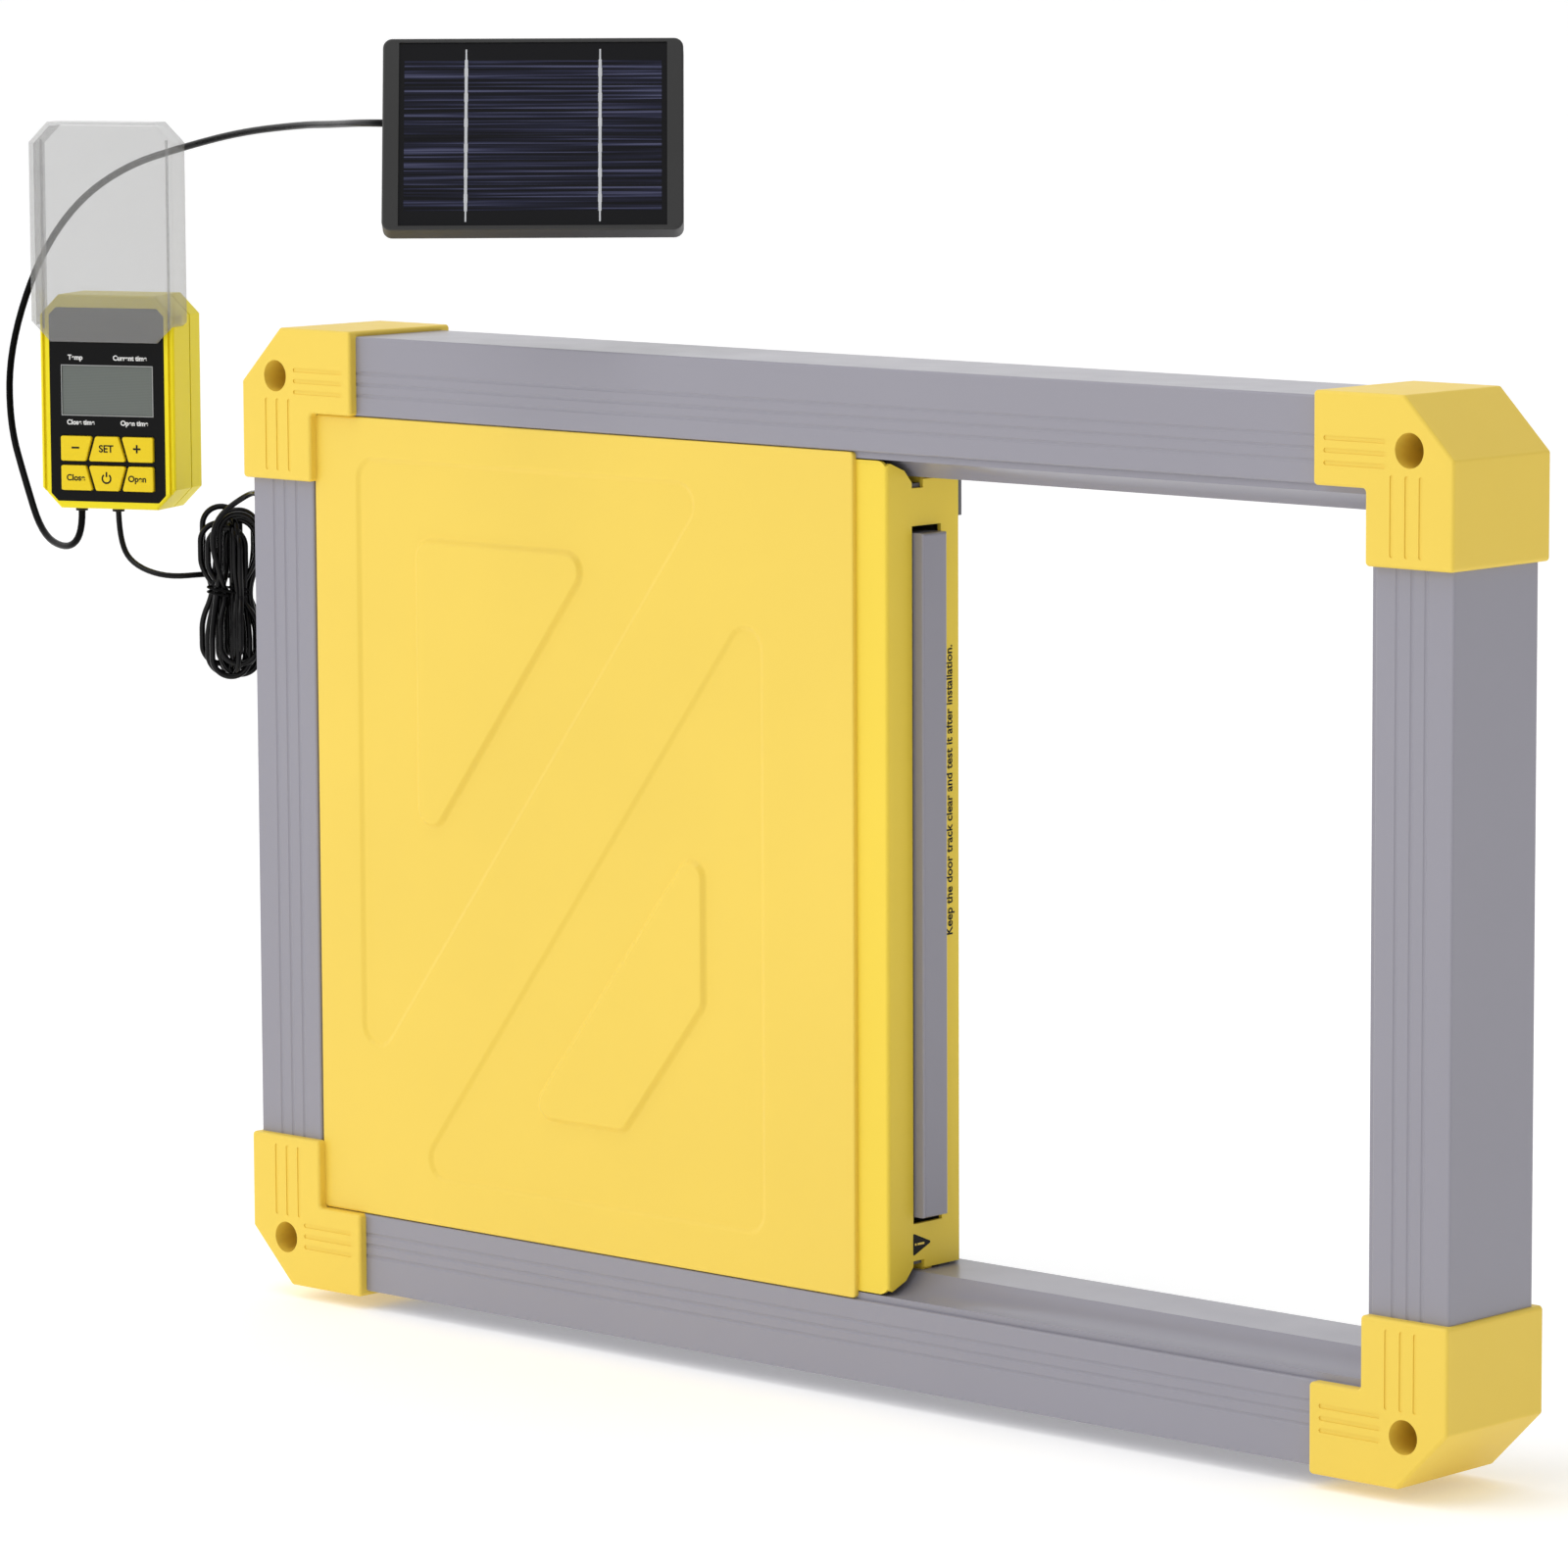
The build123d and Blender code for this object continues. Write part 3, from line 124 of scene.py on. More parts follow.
class Finish:
    """A material under construction, with short ways to add the nodes that most finishes share."""

    def __init__(self, name, roughness, metallic=0.0):
        self.material = bpy.data.materials.new(name)
        self.material.use_nodes = True
        self.tree = self.material.node_tree
        self.shader = self.tree.nodes["Principled BSDF"]
        self.shader.inputs["Roughness"].default_value = roughness
        self.shader.inputs["Metallic"].default_value = metallic
        self.place = self.node("ShaderNodeTexCoord").outputs["Object"]

    def node(self, kind):
        return self.tree.nodes.new(kind)

    def join(self, source, target):
        self.tree.links.new(source, target)

    def stretched(self, scale):
        """Texture space stretched along some axes, for brushed or drawn metal."""
        mapping = self.node("ShaderNodeMapping")
        mapping.inputs["Scale"].default_value = scale
        self.join(self.place, mapping.inputs["Vector"])
        return mapping.outputs["Vector"]

    def noise(self, scale, detail=4.0, space=None):
        noise = self.node("ShaderNodeTexNoise")
        noise.inputs["Scale"].default_value = scale
        noise.inputs["Detail"].default_value = detail
        self.join(space or self.place, noise.inputs["Vector"])
        return noise.outputs["Fac"]

    def ramp(self, source, stops, sharp=False):
        """Colours by position; stops are (position, colour)."""
        ramp = self.node("ShaderNodeValToRGB")
        ramp.color_ramp.interpolation = "CONSTANT" if sharp else "LINEAR"
        ends = ramp.color_ramp.elements
        ends[0].position, ends[0].color = stops[0]
        ends[1].position, ends[1].color = stops[-1]
        for position, colour in stops[1:-1]:
            ends.new(position).color = colour
        self.join(source, ramp.inputs["Fac"])
        return ramp.outputs["Color"]

    def paint(self, source):
        self.join(source, self.shader.inputs["Base Color"])

    def mottle(self, colour, scale, amount, space=None):
        """The colour with soft lighter and darker patches."""
        patches = self.noise(scale, 5, space)
        darker = shaded(colour, 1 - amount)
        lighter = shaded(colour, 1 + amount)
        self.paint(self.ramp(patches, [(0.3, darker), (0.7, lighter)]))

    def uneven_gloss(self, scale, low, high, space=None):
        spread = self.node("ShaderNodeMapRange")
        spread.inputs["To Min"].default_value = low
        spread.inputs["To Max"].default_value = high
        self.join(self.noise(scale, 6, space), spread.inputs["Value"])
        self.join(spread.outputs["Result"], self.shader.inputs["Roughness"])

    def relief(self, source, height, strength=0.4):
        """Fine relief; height is in millimetres."""
        bump = self.node("ShaderNodeBump")
        bump.inputs["Distance"].default_value = height * MM
        bump.inputs["Strength"].default_value = strength
        self.join(source, bump.inputs["Height"])
        self.join(bump.outputs["Normal"], self.shader.inputs["Normal"])


def coated(name, colour, roughness, grain=2600, height=0.05, amount=0.02, shine=0.5):
    """Moulded plastic or powder coat: near-even colour, fine skin and slightly uneven gloss."""
    finish = Finish(name, roughness)
    finish.shader.inputs["Specular IOR Level"].default_value = shine
    finish.mottle(colour, 9, amount)
    finish.uneven_gloss(60, roughness - 0.05, roughness + 0.07)
    finish.relief(finish.noise(grain, 3), height)
    return finish.material


def brushed(name, colour, roughness, along, metallic=1.0, amount=0.08):
    """Drawn or brushed metal with its marks running along one axis."""
    finish = Finish(name, roughness, metallic)
    space = finish.stretched([1.0 if axis == along else 40.0 for axis in "XYZ"])
    finish.mottle(colour, 60, amount, space)
    finish.uneven_gloss(45, roughness - 0.08, roughness + 0.1, space)
    finish.relief(finish.noise(90, 4, space), 0.02)
    return finish.material


def galvanised_sheet():
    """Zinc spangle: flat crystals of slightly different grey."""
    finish = Finish("galvanised_sheet", 0.42, 0.85)
    crystals = finish.node("ShaderNodeTexVoronoi")
    crystals.inputs["Scale"].default_value = 160
    finish.join(finish.place, crystals.inputs["Vector"])
    split = finish.node("ShaderNodeSeparateColor")
    finish.join(crystals.outputs["Color"], split.inputs["Color"])
    zinc = linear(176, 181, 184)
    finish.paint(finish.ramp(split.outputs["Red"], [(0.0, shaded(zinc, 0.8)), (1.0, shaded(zinc, 1.12))]))
    finish.relief(crystals.outputs["Distance"], 0.03)
    return finish.material


def circuit_board():
    """Green solder mask over a faint grid of tracks."""
    finish = Finish("board_green", 0.35)
    tracks = finish.node("ShaderNodeTexBrick")
    tracks.inputs["Scale"].default_value = 220
    tracks.inputs["Color1"].default_value = linear(24, 92, 52)
    tracks.inputs["Color2"].default_value = linear(20, 80, 46)
    tracks.inputs["Mortar"].default_value = linear(46, 128, 74)
    finish.join(finish.place, tracks.inputs["Vector"])
    finish.paint(tracks.outputs["Color"])
    finish.relief(tracks.outputs["Fac"], 0.03)
    return finish.material


def display_glass():
    """Grey liquid-crystal glass with the fine rows of its electrodes."""
    finish = Finish("display", 0.16)
    rows = finish.node("ShaderNodeTexWave")
    rows.bands_direction = "Z"
    rows.inputs["Scale"].default_value = 520
    rows.inputs["Distortion"].default_value = 0.2
    finish.join(finish.place, rows.inputs["Vector"])
    finish.paint(finish.ramp(rows.outputs["Fac"], [(0.0, linear(92, 98, 94)), (1.0, linear(99, 105, 101))]))
    finish.uneven_gloss(40, 0.12, 0.2)
    return finish.material


def solar_silicon():
    """Dark blue silicon crossed by fine bright fingers of uneven strength."""
    finish = Finish("solar_silicon", 0.25)
    fingers = finish.noise(1.0, 3, finish.stretched((9, 950, 1)))
    finish.paint(finish.ramp(fingers, [
        (0.4, linear(9, 9, 16)),
        (0.5, linear(24, 25, 40)),
        (0.56, linear(40, 42, 64)),
        (0.66, linear(78, 80, 106)),
    ]))
    finish.uneven_gloss(20, 0.2, 0.3)
    finish.shader.inputs["Specular IOR Level"].default_value = 0.2
    return finish.material


def smoke_plastic():
    """Clear moulded plastic, seen as a light grey veil."""
    finish = Finish("clear_plastic", 0.12)
    finish.mottle(linear(158, 158, 158), 12, 0.03)
    finish.shader.inputs["Alpha"].default_value = 0.34
    finish.uneven_gloss(30, 0.08, 0.16)
    finish.relief(finish.noise(300, 2), 0.02)
    return finish.material


GREY = linear(146, 144, 154)
FRAME_YELLOW = linear(238, 206, 84)
# painted shade: the side plate gets its own, more saturated copy of the sheet's yellow, standing in for how
# the shaded right-hand side looks
SHADE_TINTED_SIDE_YELLOW = linear(241, 211, 72)
CTRL_YELLOW = linear(240, 222, 26)
CASE_BLACK = linear(50, 50, 50)
RUBBER_BLACK = linear(24, 24, 25)
CORD_BLACK = linear(4, 4, 5)
GLOSSY_BLACK = linear(5, 5, 6)

finishes = {
    "grey_aluminium": coated("grey_aluminium", GREY, 0.3, grain=1500, height=0.015, amount=0.015),
    "yellow_plastic": coated("yellow_plastic", FRAME_YELLOW, 0.45, shine=0.3),
    "yellow_sheet": coated("yellow_sheet", FRAME_YELLOW, 0.35, grain=1800, height=0.02, shine=0.35),
    "galvanised_sheet": galvanised_sheet(),
    "controller_yellow": coated("controller_yellow", CTRL_YELLOW, 0.4, shine=0.25),
    "black_face": coated("black_face", linear(10, 10, 11), 0.3, height=0.01, shine=0.12),
    "display": display_glass(),
    "key_yellow": coated("key_yellow", linear(236, 206, 26), 0.42, shine=0.25),
    "board_green": circuit_board(),
    "battery_wrap": coated("battery_wrap", linear(52, 88, 150), 0.3),
    "steel": brushed("steel", linear(196, 197, 200), 0.3, "Z"),
    "brass": brushed("brass", linear(214, 178, 96), 0.32, "X"),
    "black_rubber": coated(
        "black_rubber", RUBBER_BLACK, 0.6, grain=1400, height=0.08, amount=0.1, shine=0.3
    ),
    "grey_polymer": coated("grey_polymer", linear(96, 96, 100), 0.5),
    "white_polymer": coated("white_polymer", linear(228, 228, 224), 0.45),
    "clear_plastic": smoke_plastic(),
    "black_plastic": coated(
        "black_plastic", CASE_BLACK, 0.45, grain=1200, height=0.06, amount=0.08, shine=0.35
    ),
    "solar_cells": coated("solar_cells", linear(16, 16, 19), 0.2, height=0.01, shine=0.2),
    "cord_black": coated("cord_black", CORD_BLACK, 0.22, grain=1600, height=0.01, amount=0.1, shine=0.06),
}
glossy_cord = coated("glossy_cord", GLOSSY_BLACK, 0.17, grain=1600, height=0.01, amount=0.1, shine=0.2)
# painted shade: a second copy of the yellow sheet finish, tinted as its shaded side looks
shade_tinted_side_sheet = coated("shade_tinted_side_sheet", SHADE_TINTED_SIDE_YELLOW, 0.35, grain=1800, height=0.02, shine=0.25)
silver_print = brushed("silver_print", linear(208, 210, 214), 0.35, "Y", metallic=0.6)
white_ink = coated("white_ink", linear(222, 222, 222), 0.5)
black_ink = coated("black_ink", linear(16, 16, 15), 0.5, shine=0.2)

for part in frame["record"]["subparts"]:
    node = frame["nodes"][part["node"]]
    node.data.materials.clear()
    node.data.materials.append(finishes[part["material_slot"]])
# painted shade: the side plate wears the shade-tinted copy of the yellow sheet instead of the front cover's
# yellow
frame["nodes"]["side_plate"].data.materials[0] = shade_tinted_side_sheet

# ---- making pieces ----


def piece(name, data, slot, body, place=Matrix.Identity(4), material=None):
    """An object from mesh or curve data, finished and riding on a body."""
    made = bpy.data.objects.new(name, data)
    bpy.context.scene.collection.objects.link(made)
    made.matrix_world = place
    made.data.materials.append(material or finishes[slot])
    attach(made, body)
    return made


def mesh_of(name, shape):
    """Mesh data from a bmesh that is given in millimetres."""
    bmesh.ops.scale(shape, vec=(MM, MM, MM), verts=shape.verts)
    bmesh.ops.recalc_face_normals(shape, faces=shape.faces)
    data = bpy.data.meshes.new(name)
    shape.to_mesh(data)
    shape.free()
    return data


def rounded(corners, radius, inset=0.0, steps=8):
    """A convex outline moved inward by inset, with its corners as arcs; (x, y) points in order."""
    points = []
    turn_radius = max(radius - inset, 0.2)
    for index, corner in enumerate(corners):
        here = Vector(corner)
        back = (Vector(corners[index - 1]) - here).normalized()
        ahead = (Vector(corners[(index + 1) % len(corners)]) - here).normalized()
        half = acos(back.dot(ahead)) / 2
        inward = (back + ahead).normalized()
        centre = here + inward * (inset + turn_radius) / sin(half)
        first = -inward.orthogonal() if back.cross(inward) > 0 else inward.orthogonal()
        sweep = pi / 2 - half
        for step in range(steps + 1):
            angle = sweep * (2 * step / steps - 1)
            points.append(centre - turn_radius * (inward * cos(angle) + first * sin(angle)))
    return points


def loop_at(shape, points, depth):
    """One closed ring of vertices and its edges; points are (x, z) and depth is measured from the wall."""
    ring = [shape.verts.new((x, -depth, z)) for x, z in points]
    edges = [shape.edges.new((ring[i - 1], ring[i])) for i in range(len(ring))]
    return ring, edges


def skirt(shape, first, second):
    """Faces between two rings with the same number of vertices."""
    for i in range(len(first)):
        shape.faces.new((first[i - 1], first[i], second[i], second[i - 1]))


# ---- cords ----

SOLAR_CORD_D = 2.8
DOOR_CORD_D = 2.3
GLAND_L = 1.5
SOLAR_GLAND_X = -15.3
DOOR_GLAND_X = 0.5
TILT_Y = 8.8
TILT_D = 5.0
GLAND_D = 17.0


def cord_curve(name, route, diameter, material=None):
    """A round cord on one smooth curve along the route's points, which are in metres."""
    data = bpy.data.curves.new(name, "CURVE")
    data.dimensions = "3D"
    data.bevel_depth = diameter / 2 * MM
    data.bevel_resolution = 5
    data.resolution_u = 6
    data.use_fill_caps = True
    spline = data.splines.new("NURBS")
    spline.points.add(len(route) - 1)
    for spot, point in zip(spline.points, route):
        spot.co = (*point, 1.0)
    spline.order_u = 3
    spline.use_endpoint_u = True
    return piece(name, data, "cord_black", "frame", material=material)


solar_exit = point_on(PANEL, -20, TILT_Y, -TILT_D)
solar_end = point_on(CTRL, SOLAR_GLAND_X, -CTRL_H / 2 - GLAND_L, GLAND_D)
solar_route = [
    solar_exit,
    metres(-166, -92.7, 266),
    metres(-190, -86, 265.4),
    metres(-225, -66, 263.4),
    metres(-262, -46, 261.8),
    metres(-315, -28, 257.3),
    metres(-362, -15, 249.8),
    metres(-400, -10.5, 241.5),
    metres(-433, -8.5, 225.5),
    metres(-457, -8.5, 200),
    metres(-470, -11.5, 165),
    metres(-466, -15.5, 136),
    metres(-451, -21, 114.5),
    metres(-433, -28.5, 94),
    metres(-408, -37.5, 90.5),
    Vector((solar_end.x, solar_end.y, 97.5 * MM)),
    solar_end,
]
solar_cord = cord_curve("solar_lead", solar_route, SOLAR_CORD_D)
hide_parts("solar_cord")

LOBE_RADIUS = 7.3
LOBE_STEPS = 5
RUN_OUT = 8.0
WAIST_Y = -1.0
WAIST_BACK = -1.3
WAIST_FRONT = 1.3
LAYER = 1.15
FLAT = 0.0
EDGEWAYS = radians(65)
EDGEWAYS_SPREAD = 2.2
# each turn: the top of its upper lobe and the bottom of its lower one (x and y), where its right and left
# strands pass through the tie, how deep they pass there, and the turn's swing about the upright
HANK_TURNS = [
    ((-3.4, 33.0), (-4.1, -29.0), (0.0, -6.6), WAIST_BACK, FLAT),
    ((2.0, 31.6), (3.9, -31.0), (6.6, -2.2), WAIST_BACK, FLAT),
    ((-1.6, 29.0), (-1.6, -31.5), (1.2, -4.0), WAIST_BACK, EDGEWAYS),
    ((-4.0, 26.8), (-1.6, -32.5), (2.2, -5.4), WAIST_BACK, FLAT),
    ((0.6, 30.0), (-0.5, -28.0), (2.6, -3.2), WAIST_BACK, EDGEWAYS),
    ((4.0, 32.0), (2.6, -30.0), (4.4, -6.0), WAIST_FRONT, FLAT),
    ((-0.4, 27.5), (0.7, -32.6), (3.4, -1.8), WAIST_FRONT, EDGEWAYS),
    ((3.4, 28.5), (4.1, -32.4), (7.2, -3.8), WAIST_FRONT, FLAT),
    ((1.8, 24.5), (1.8, -26.0), (4.8, 0.6), WAIST_FRONT, EDGEWAYS),
    ((-0.6, 25.5), (0.6, -33.0), (5.8, -4.8), WAIST_FRONT, FLAT),
    ((4.2, 31.0), (4.0, -28.0), (3.0, -1.0), WAIST_FRONT, FLAT),
]


def lobe(centre_x, centre_y, depth, start, end, swing=FLAT):
    """Points round one end of a turn; their legs touch the lobe's circle and its sides run out straight."""
    step = (end - start) / LOBE_STEPS
    near = LOBE_RADIUS * tan(abs(step) / 2)
    toward_waist = -1 if centre_y > WAIST_Y else 1
    reach = LOBE_RADIUS / cos(step / 2)
    first_side = LOBE_RADIUS * cos(start)
    spots = [(first_side, toward_waist * (near + RUN_OUT)), (first_side, toward_waist * near)]
    for number in range(LOBE_STEPS):
        angle = start + step * (number + 0.5)
        spots.append((reach * cos(angle), reach * sin(angle)))
    spots += [(-side, height) for side, height in reversed(spots[:2])]
    return [point_on(HANK, centre_x + side * cos(swing), centre_y + height, depth + side * sin(swing))
            for side, height in spots]


def hank_route():
    """The turns of the hank: over the top from left to right, down, round the bottom and up again."""
    route = []
    for number, (top, bottom, slots, waist, swing) in enumerate(HANK_TURNS):
        layer = (number - (len(HANK_TURNS) - 1) / 2) * LAYER
        depth = layer * cos(swing)
        spread = EDGEWAYS_SPREAD * sin(swing)
        route += lobe(top[0], top[1] - LOBE_RADIUS, depth, pi, 0, swing)
        route.append(point_on(HANK, slots[0], WAIST_Y, waist + spread))
        route += lobe(bottom[0], bottom[1] + LOBE_RADIUS, depth, 0, -pi, swing)
        route.append(point_on(HANK, slots[1], WAIST_Y, waist - spread))
    return route


door_exit = point_on(CTRL, DOOR_GLAND_X, -CTRL_H / 2 - GLAND_L, GLAND_D)
door_route = [
    door_exit,
    metres(-382, -33.4, 96),
    metres(-376, -32.8, 86.5),
    point_on(HANK, -25, 5.6, 0),
    point_on(HANK, -8, 6.5, -6.5),
    point_on(HANK, 3, 5.5, -7.5),
    point_on(HANK, 8.5, -5, -6.5),
    *lobe(3.6, -30.5 + LOBE_RADIUS, -6.4, 0, -pi),
    point_on(HANK, -6.8, -1, -3.4),
    *hank_route(),
    point_on(HANK, -4.6, 12, 6.6),
    point_on(HANK, -6.2, 21.5, 8),
    point_on(HANK, -3.2, 31, 8),
    metres(-328, -14, 116),
    metres(-311, -25, 117.5),
    metres(-294, -26, 117),
]
door_cord = cord_curve("door_lead", door_route, DOOR_CORD_D, glossy_cord)
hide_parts("door_cord_controller_side", "cord_hank", "door_cord_frame_side")


def tie_wire():
    """Two slanting turns of thin wire round the waist of the hank."""
    half_width, half_depth, wire, middle = 8.7, 4.6, 0.9, 0.8
    turns, steps = 2, 14
    route = []
    for step in range(turns * steps + 1):
        angle = 2 * pi * step / steps - pi / 2
        height = 2.2 - 3.6 * step / (turns * steps) - 1.1 * cos(angle)
        route.append(point_on(HANK, half_width * cos(angle), height, middle - half_depth * sin(angle)))
    tie = cord_curve("hank_wire", route, wire)
    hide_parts("hank_tie")
    return tie


tie_wire()

# ---- pressed front cover ----

COVER_FRONT = 49.5
COVER_BACK = 47.5
PRESS_DEPTH = 0.9
PRESS_HALF_W = 1.3
PRESS_STEPS = 6
COVER_LEFT = -254.0
FIELD_RISE = 0.7
COVER_RIGHT = 20.5
COVER_HALF_H = 152.7
UPPER_BAND = [(-231, 137), (-49, 137), (-231, -102.5)]
UPPER_FIELD = [(-200, 108), (-107.5, 108), (-200, -13.5)]
LOWER_BAND = [(-24, -135), (-204, -135), (-24, 102)]
LOWER_FIELD = [(-53.5, 10), (-53.5, -54), (-94, -105), (-144, -105)]
BAND_CORNER = 8
UPPER_FIELD_CORNER = 7
LOWER_FIELD_CORNER = 6


def pressed_step(shape, corners, radius, outer_depth, inner_depth):
    """The rounded step that follows one outline; returns the edges of its outer and inner rings."""
    rings = []
    for step in range(PRESS_STEPS + 1):
        share = step / PRESS_STEPS
        blend = (1 - cos(pi * share)) / 2
        depth = outer_depth + (inner_depth - outer_depth) * blend
        outline = rounded(corners, radius, PRESS_HALF_W * (2 * share - 1))
        rings.append(loop_at(shape, outline, depth))
    for outer, inner in zip(rings, rings[1:]):
        skirt(shape, outer[0], inner[0])
    return rings[0][1], rings[-1][1]


def fill_flat(shape, edges):
    bmesh.ops.triangle_fill(shape, use_beauty=True, edges=edges)


def front_cover():
    """The yellow cover with its two pressed bands and the fields inside them."""
    shape = bmesh.new()
    sides = [(COVER_LEFT, -COVER_HALF_H), (COVER_RIGHT, -COVER_HALF_H),
             (COVER_RIGHT, COVER_HALF_H), (COVER_LEFT, COVER_HALF_H)]
    rings = [loop_at(shape, rounded(sides, 1.5, inset), depth) for inset, depth in
             ((0, COVER_BACK), (0, COVER_FRONT - 0.7), (0.2, COVER_FRONT - 0.2), (0.7, COVER_FRONT))]
    for outer, inner in zip(rings, rings[1:]):
        skirt(shape, outer[0], inner[0])
    fill_flat(shape, rings[0][1])
    face_edges = list(rings[-1][1])
    pressed = COVER_FRONT - PRESS_DEPTH
    presses = (
        (UPPER_BAND, UPPER_FIELD, UPPER_FIELD_CORNER),
        (LOWER_BAND, LOWER_FIELD, LOWER_FIELD_CORNER),
    )
    for band, field, radius in presses:
        band_outer, band_edges = pressed_step(shape, band, BAND_CORNER, COVER_FRONT, pressed)
        field_outer, field_edges = pressed_step(shape, field, radius, pressed, COVER_FRONT + FIELD_RISE)
        fill_flat(shape, band_edges + field_outer)
        fill_flat(shape, field_edges)
        face_edges += band_outer
    fill_flat(shape, face_edges)
    cover = piece("pressed_cover", mesh_of("pressed_cover", shape), "yellow_sheet", "frame")
    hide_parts("front_cover")


front_cover()

# ---- solar cells ----

CELLS_D = 9.32
CELLS_Y = -0.5
CELL_W = 93.6
CELL_H = 8.95
CELL_GAP = 0.68
CELL_T = 0.06
CELL_ROWS = 6
BUS_SPOTS = (-24.3, 24.4)
BUS_W = 1.1
BUS_TAIL = 4.0
BUS_TAIL_W = 0.6
PAD_W = BUS_W + 0.25
PAD_H = 3.2


def flat_box(shape, x, y, z, width, height, thickness):
    """One box standing on depth z, centred on x and y."""
    spot = Matrix.Translation((x, y, z + thickness / 2)) @ Matrix.Diagonal((width, height, thickness, 1))
    bmesh.ops.create_cube(shape, size=1, matrix=spot)


def cell_height(row):
    """The middle of one strip of cells, from the middle of the panel."""
    return CELLS_Y + (row - (CELL_ROWS - 1) / 2) * (CELL_H + CELL_GAP)


def cell_strips():
    shape = bmesh.new()
    for row in range(CELL_ROWS):
        flat_box(shape, 0, cell_height(row), CELLS_D, CELL_W, CELL_H, CELL_T)
    data = mesh_of("cell_strips", shape)
    piece("cell_strips", data, "solar_cells", "solar_panel", PANEL, solar_silicon())


def bus_bars():
    """Two silver ribbons across the strips, with a solder pad on each strip and thinner tails past them."""
    shape = bmesh.new()
    cells_h = CELL_ROWS * (CELL_H + CELL_GAP)
    for spot in BUS_SPOTS:
        flat_box(shape, spot, CELLS_Y, CELLS_D + CELL_T, BUS_TAIL_W, cells_h + 2 * BUS_TAIL, 0.08)
        flat_box(shape, spot, CELLS_Y, CELLS_D + CELL_T, BUS_W, cells_h, 0.1)
        for row in range(CELL_ROWS):
            flat_box(shape, spot, cell_height(row), CELLS_D + CELL_T, PAD_W, PAD_H, 0.14)
    piece("bus_bars", mesh_of("bus_bars", shape), "steel", "solar_panel", PANEL, silver_print)


cell_strips()
bus_bars()

# ---- printed marks on the controller ----

KEY_FRONT = 26.2
FACE_FRONT = 24.9
LCD_Y = 4.5
LCD_W = 38.8
LCD_H = 19.3
PRINT_T = 0.03
PRINT_FULLNESS = 0.09


def legend(name, words, x, y, depth, size, ink, body):
    """A generic word or sign in thin ink on the controller's front."""
    data = bpy.data.curves.new(name, "FONT")
    data.body = words
    data.size = size * MM
    data.extrude = PRINT_T * MM
    data.offset = PRINT_FULLNESS * MM
    data.align_x = "CENTER"
    data.align_y = "CENTER"
    place = CTRL @ Matrix.Translation((x * MM, y * MM, (depth + 0.04) * MM))
    piece(name, data, "black_face", body, place, ink)


def key_centre(key):
    """The middle of a key in the controller's plane, in millimetres."""
    low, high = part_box(key)
    middle = CTRL.inverted() @ ((Vector(low) + Vector(high)) / 2)
    return middle.x / MM, middle.y / MM


KEY_SIGNS = {
    "key_minus": ("−", 6.5),
    "key_set": ("SET", 4.0),
    "key_plus": ("+", 6.5),
    "key_close": ("Close", 3.4),
    "key_open": ("Open", 3.4),
}
for key, (sign, size) in KEY_SIGNS.items():
    key_x, key_y = key_centre(key)
    legend(key + "_sign", sign, key_x, key_y, KEY_FRONT, size, black_ink, key)


def power_sign():
    """An open ring with a bar in its gap, printed on the power key."""
    shape = bmesh.new()
    radius, half_line, steps, gap = 1.8, 0.34, 20, radians(38)
    ring = []
    for step in range(steps + 1):
        angle = pi / 2 + gap + (2 * pi - 2 * gap) * step / steps
        ring.append([shape.verts.new(((radius + side) * cos(angle), (radius + side) * sin(angle), 0.03))
                     for side in (-half_line, half_line)])
    for first, second in zip(ring, ring[1:]):
        shape.faces.new((first[0], first[1], second[1], second[0]))
    flat_box(shape, 0, 1.6, 0, 2 * half_line, 2.0, 0.03)
    key_x, key_y = key_centre("key_power")
    place = CTRL @ Matrix.Translation(Vector((key_x, key_y, KEY_FRONT + 0.02)) * MM)
    piece("key_power_sign", mesh_of("key_power_sign", shape), "black_face", "key_power", place, black_ink)


power_sign()

CAPTIONS = (
    ("clock_caption", "Current time", 10.0, LCD_Y + LCD_H / 2 + 3.2),
    ("temperature_caption", "Temp", -13.5, LCD_Y + LCD_H / 2 + 3.2),
    ("open_time_caption", "Open time", 11.5, LCD_Y - LCD_H / 2 - 3.0),
    ("close_time_caption", "Close time", -11.5, LCD_Y - LCD_H / 2 - 3.0),
)
for name, words, caption_x, caption_y in CAPTIONS:
    legend(name, words, caption_x, caption_y, FACE_FRONT, 2.7, white_ink, "frame")


def display_border():
    """The light line that edges the display window."""
    shape = bmesh.new()
    line, lift = 0.35, 0.05
    for side in (-1, 1):
        flat_box(shape, 0, LCD_Y + side * (LCD_H / 2 + line / 2), FACE_FRONT, LCD_W + 2 * line, line, lift)
        flat_box(shape, side * (LCD_W / 2 + line / 2), LCD_Y, FACE_FRONT, line, LCD_H, lift)
    piece("display_border", mesh_of("display_border", shape), "black_face", "frame", CTRL,
          coated("border_ink", linear(150, 152, 152), 0.4))


display_border()

# ---- label on the side plate ----

SIDE_X = 35.0
LABEL_LIFT = 0.04
CAUTION_SIZE = 4.8
CAUTION_FULLNESS = 0.1
TRIANGLE = 4.2


def side_label():
    """A generic caution line that runs up the side plate."""
    data = bpy.data.curves.new("side_caution", "FONT")
    data.body = "Keep the door track clear and test it after installation."
    data.size = CAUTION_SIZE * MM
    data.extrude = PRINT_T * MM
    data.offset = CAUTION_FULLNESS * MM
    data.align_x = "CENTER"
    data.align_y = "CENTER"
    facing = Matrix(((0, 0, 1), (0, -1, 0), (1, 0, 0))).to_4x4()
    place = Matrix.Translation(metres(SIDE_X + LABEL_LIFT, -14, 29.5)) @ facing
    piece("side_caution", data, "yellow_sheet", "frame", place, black_ink)


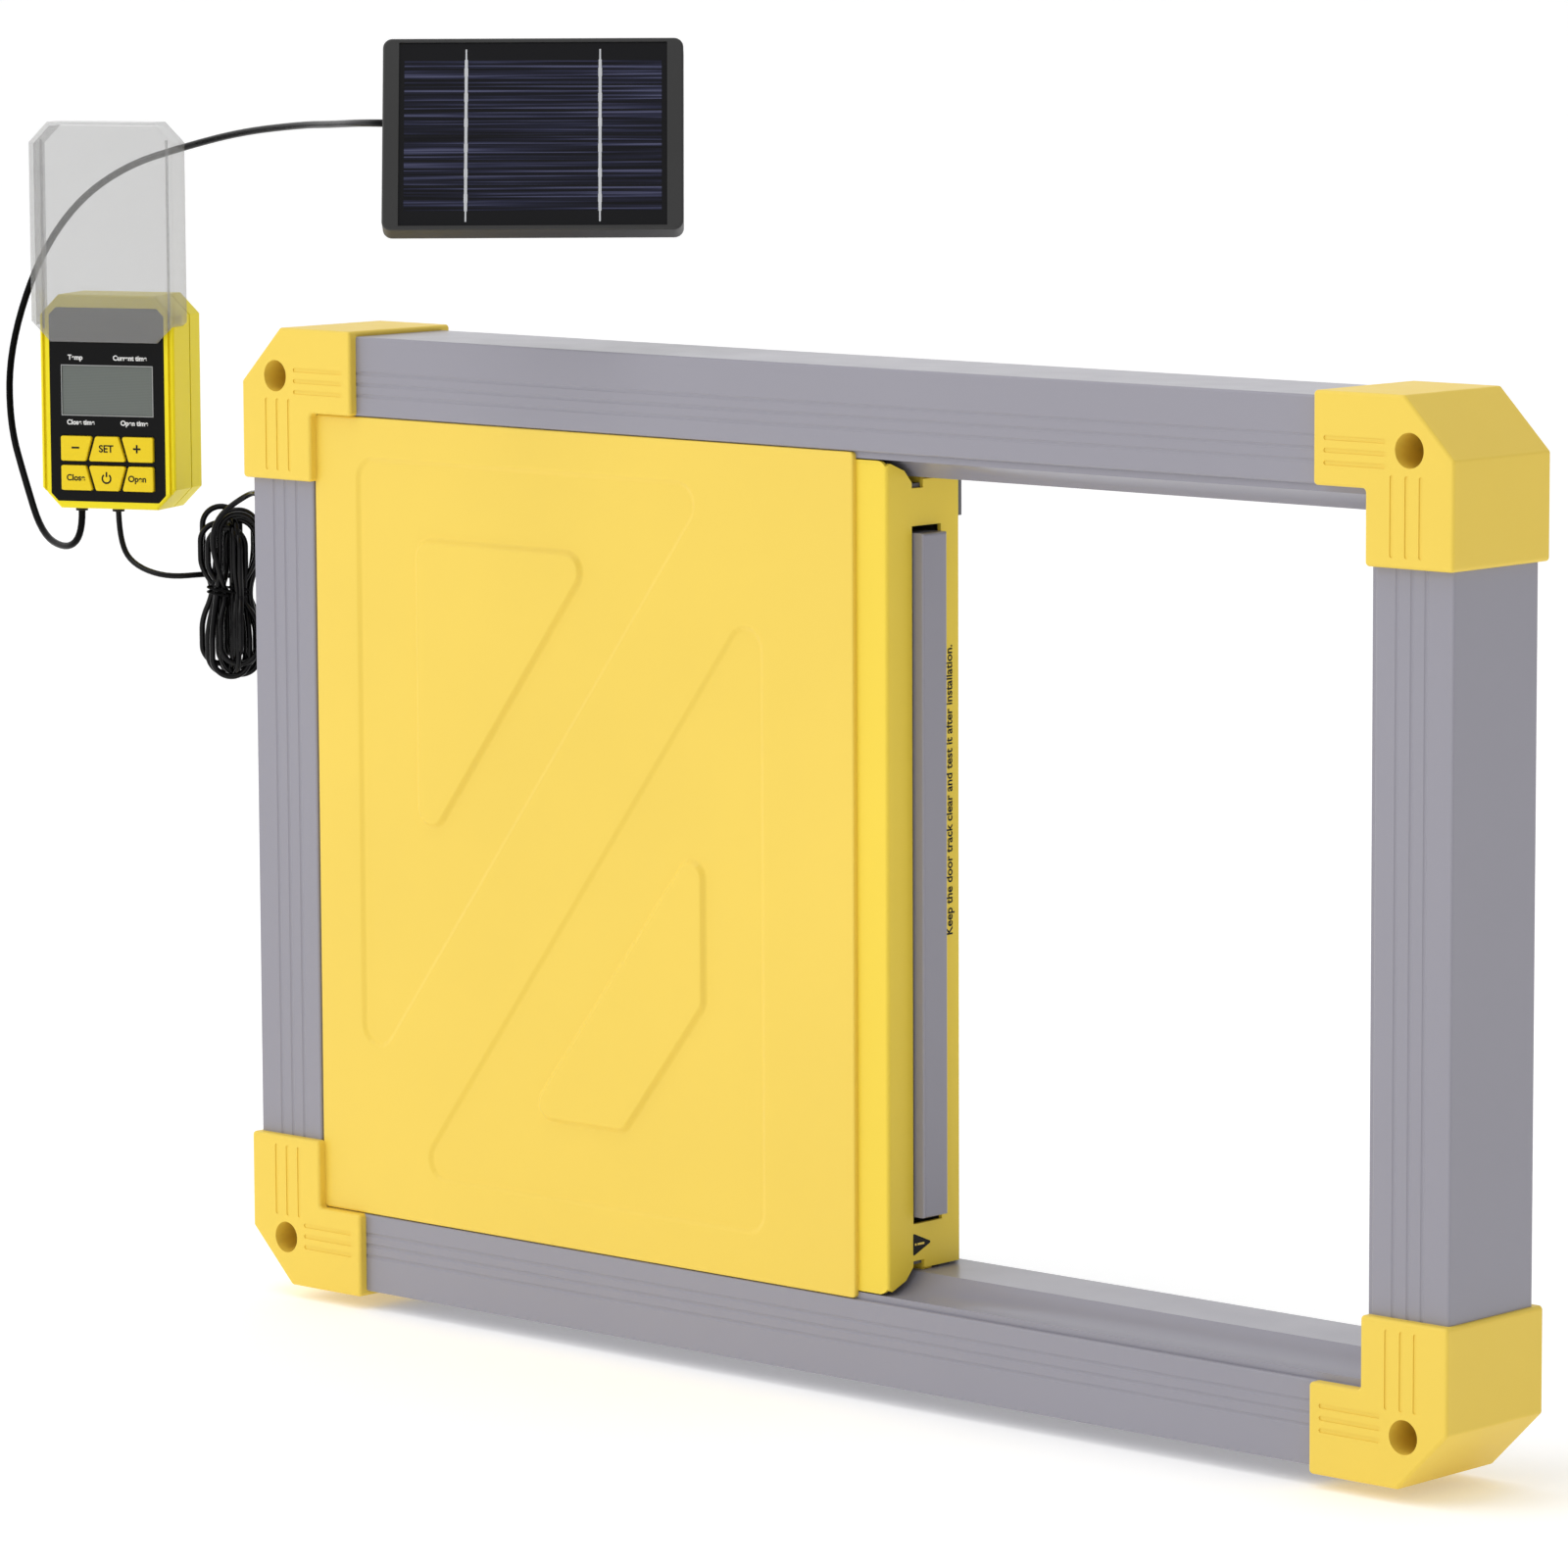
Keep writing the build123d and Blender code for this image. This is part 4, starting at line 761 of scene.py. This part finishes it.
def warning_sign():
    """A black triangle with a light bar and dot, below the door slot."""
    facing = Matrix(((0, 0, 1), (1, 0, 0), (0, 1, 0))).to_4x4()
    place = Matrix.Translation(metres(SIDE_X + LABEL_LIFT / 2, -30, -133.5)) @ facing
    shape = bmesh.new()
    corners = rounded([(-TRIANGLE, -TRIANGLE), (TRIANGLE * 1.4, 0), (-TRIANGLE, TRIANGLE)], 0.5)
    shape.faces.new([shape.verts.new((x, y, LABEL_LIFT)) for x, y in corners])
    piece("warning_triangle", mesh_of("warning_triangle", shape), "yellow_sheet", "frame", place, black_ink)
    shape = bmesh.new()
    flat_box(shape, 0, 0, LABEL_LIFT, 3.6, 0.8, LABEL_LIFT)
    flat_box(shape, -2.8, 0, LABEL_LIFT, 0.9, 0.8, LABEL_LIFT)
    piece("warning_mark", mesh_of("warning_mark", shape), "yellow_sheet", "frame", place)


side_label()
warning_sign()

# ---- floor and light ----

FLOOR_Z = -190.0
FLOOR_HALF = 60000
FLOOR_GLOW = 0.22
LEFT_STRENGTH = 1.2
RIGHT_STRENGTH = 0.42


def floor():
    """A wide pale floor just under the frame, bright enough to read as a plain studio background."""
    shape = bmesh.new()
    bmesh.ops.create_grid(shape, x_segments=2, y_segments=2, size=FLOOR_HALF)
    data = mesh_of("floor", shape)
    made = bpy.data.objects.new("floor", data)
    bpy.context.scene.collection.objects.link(made)
    made.location = (0, 0, FLOOR_Z * MM)
    paper = Finish("floor_paper", 0.9)
    paper.mottle(linear(250, 250, 250), 2, 0.004)
    paper.shader.inputs["Emission Color"].default_value = (1, 1, 1, 1)
    paper.shader.inputs["Emission Strength"].default_value = FLOOR_GLOW
    data.materials.append(paper.material)


def soft_light(name, spot, power, size):
    """A square area light that faces the object."""
    data = bpy.data.lights.new(name, "AREA")
    data.energy = power
    data.size = size
    light = bpy.data.objects.new(name, data)
    bpy.context.scene.collection.objects.link(light)
    light.location = spot
    light.rotation_euler = (-Vector(spot)).to_track_quat("-Z", "Y").to_euler()


def studio_world():
    """White surroundings that fall off toward the right, so that the right-hand sides are in soft shade."""
    world = bpy.data.worlds.new("studio")
    world.use_nodes = True
    tree = world.node_tree
    direction = tree.nodes.new("ShaderNodeTexCoord")
    split = tree.nodes.new("ShaderNodeSeparateXYZ")
    falloff = tree.nodes.new("ShaderNodeMapRange")
    falloff.inputs["From Min"].default_value = -1
    falloff.inputs["To Min"].default_value = LEFT_STRENGTH
    falloff.inputs["To Max"].default_value = RIGHT_STRENGTH
    tree.links.new(direction.outputs["Generated"], split.inputs["Vector"])
    tree.links.new(split.outputs["X"], falloff.inputs["Value"])
    surroundings = tree.nodes["Background"]
    surroundings.inputs["Color"].default_value = (1.0, 1.0, 1.0, 1.0)
    tree.links.new(falloff.outputs["Result"], surroundings.inputs["Strength"])
    bpy.context.scene.world = world


floor()
soft_light("key_light", (-1.6, -3.2, 2.6), power=26, size=2.2)
soft_light("top_light", (-0.3, -0.9, 3.2), power=16, size=1.6)
studio_world()
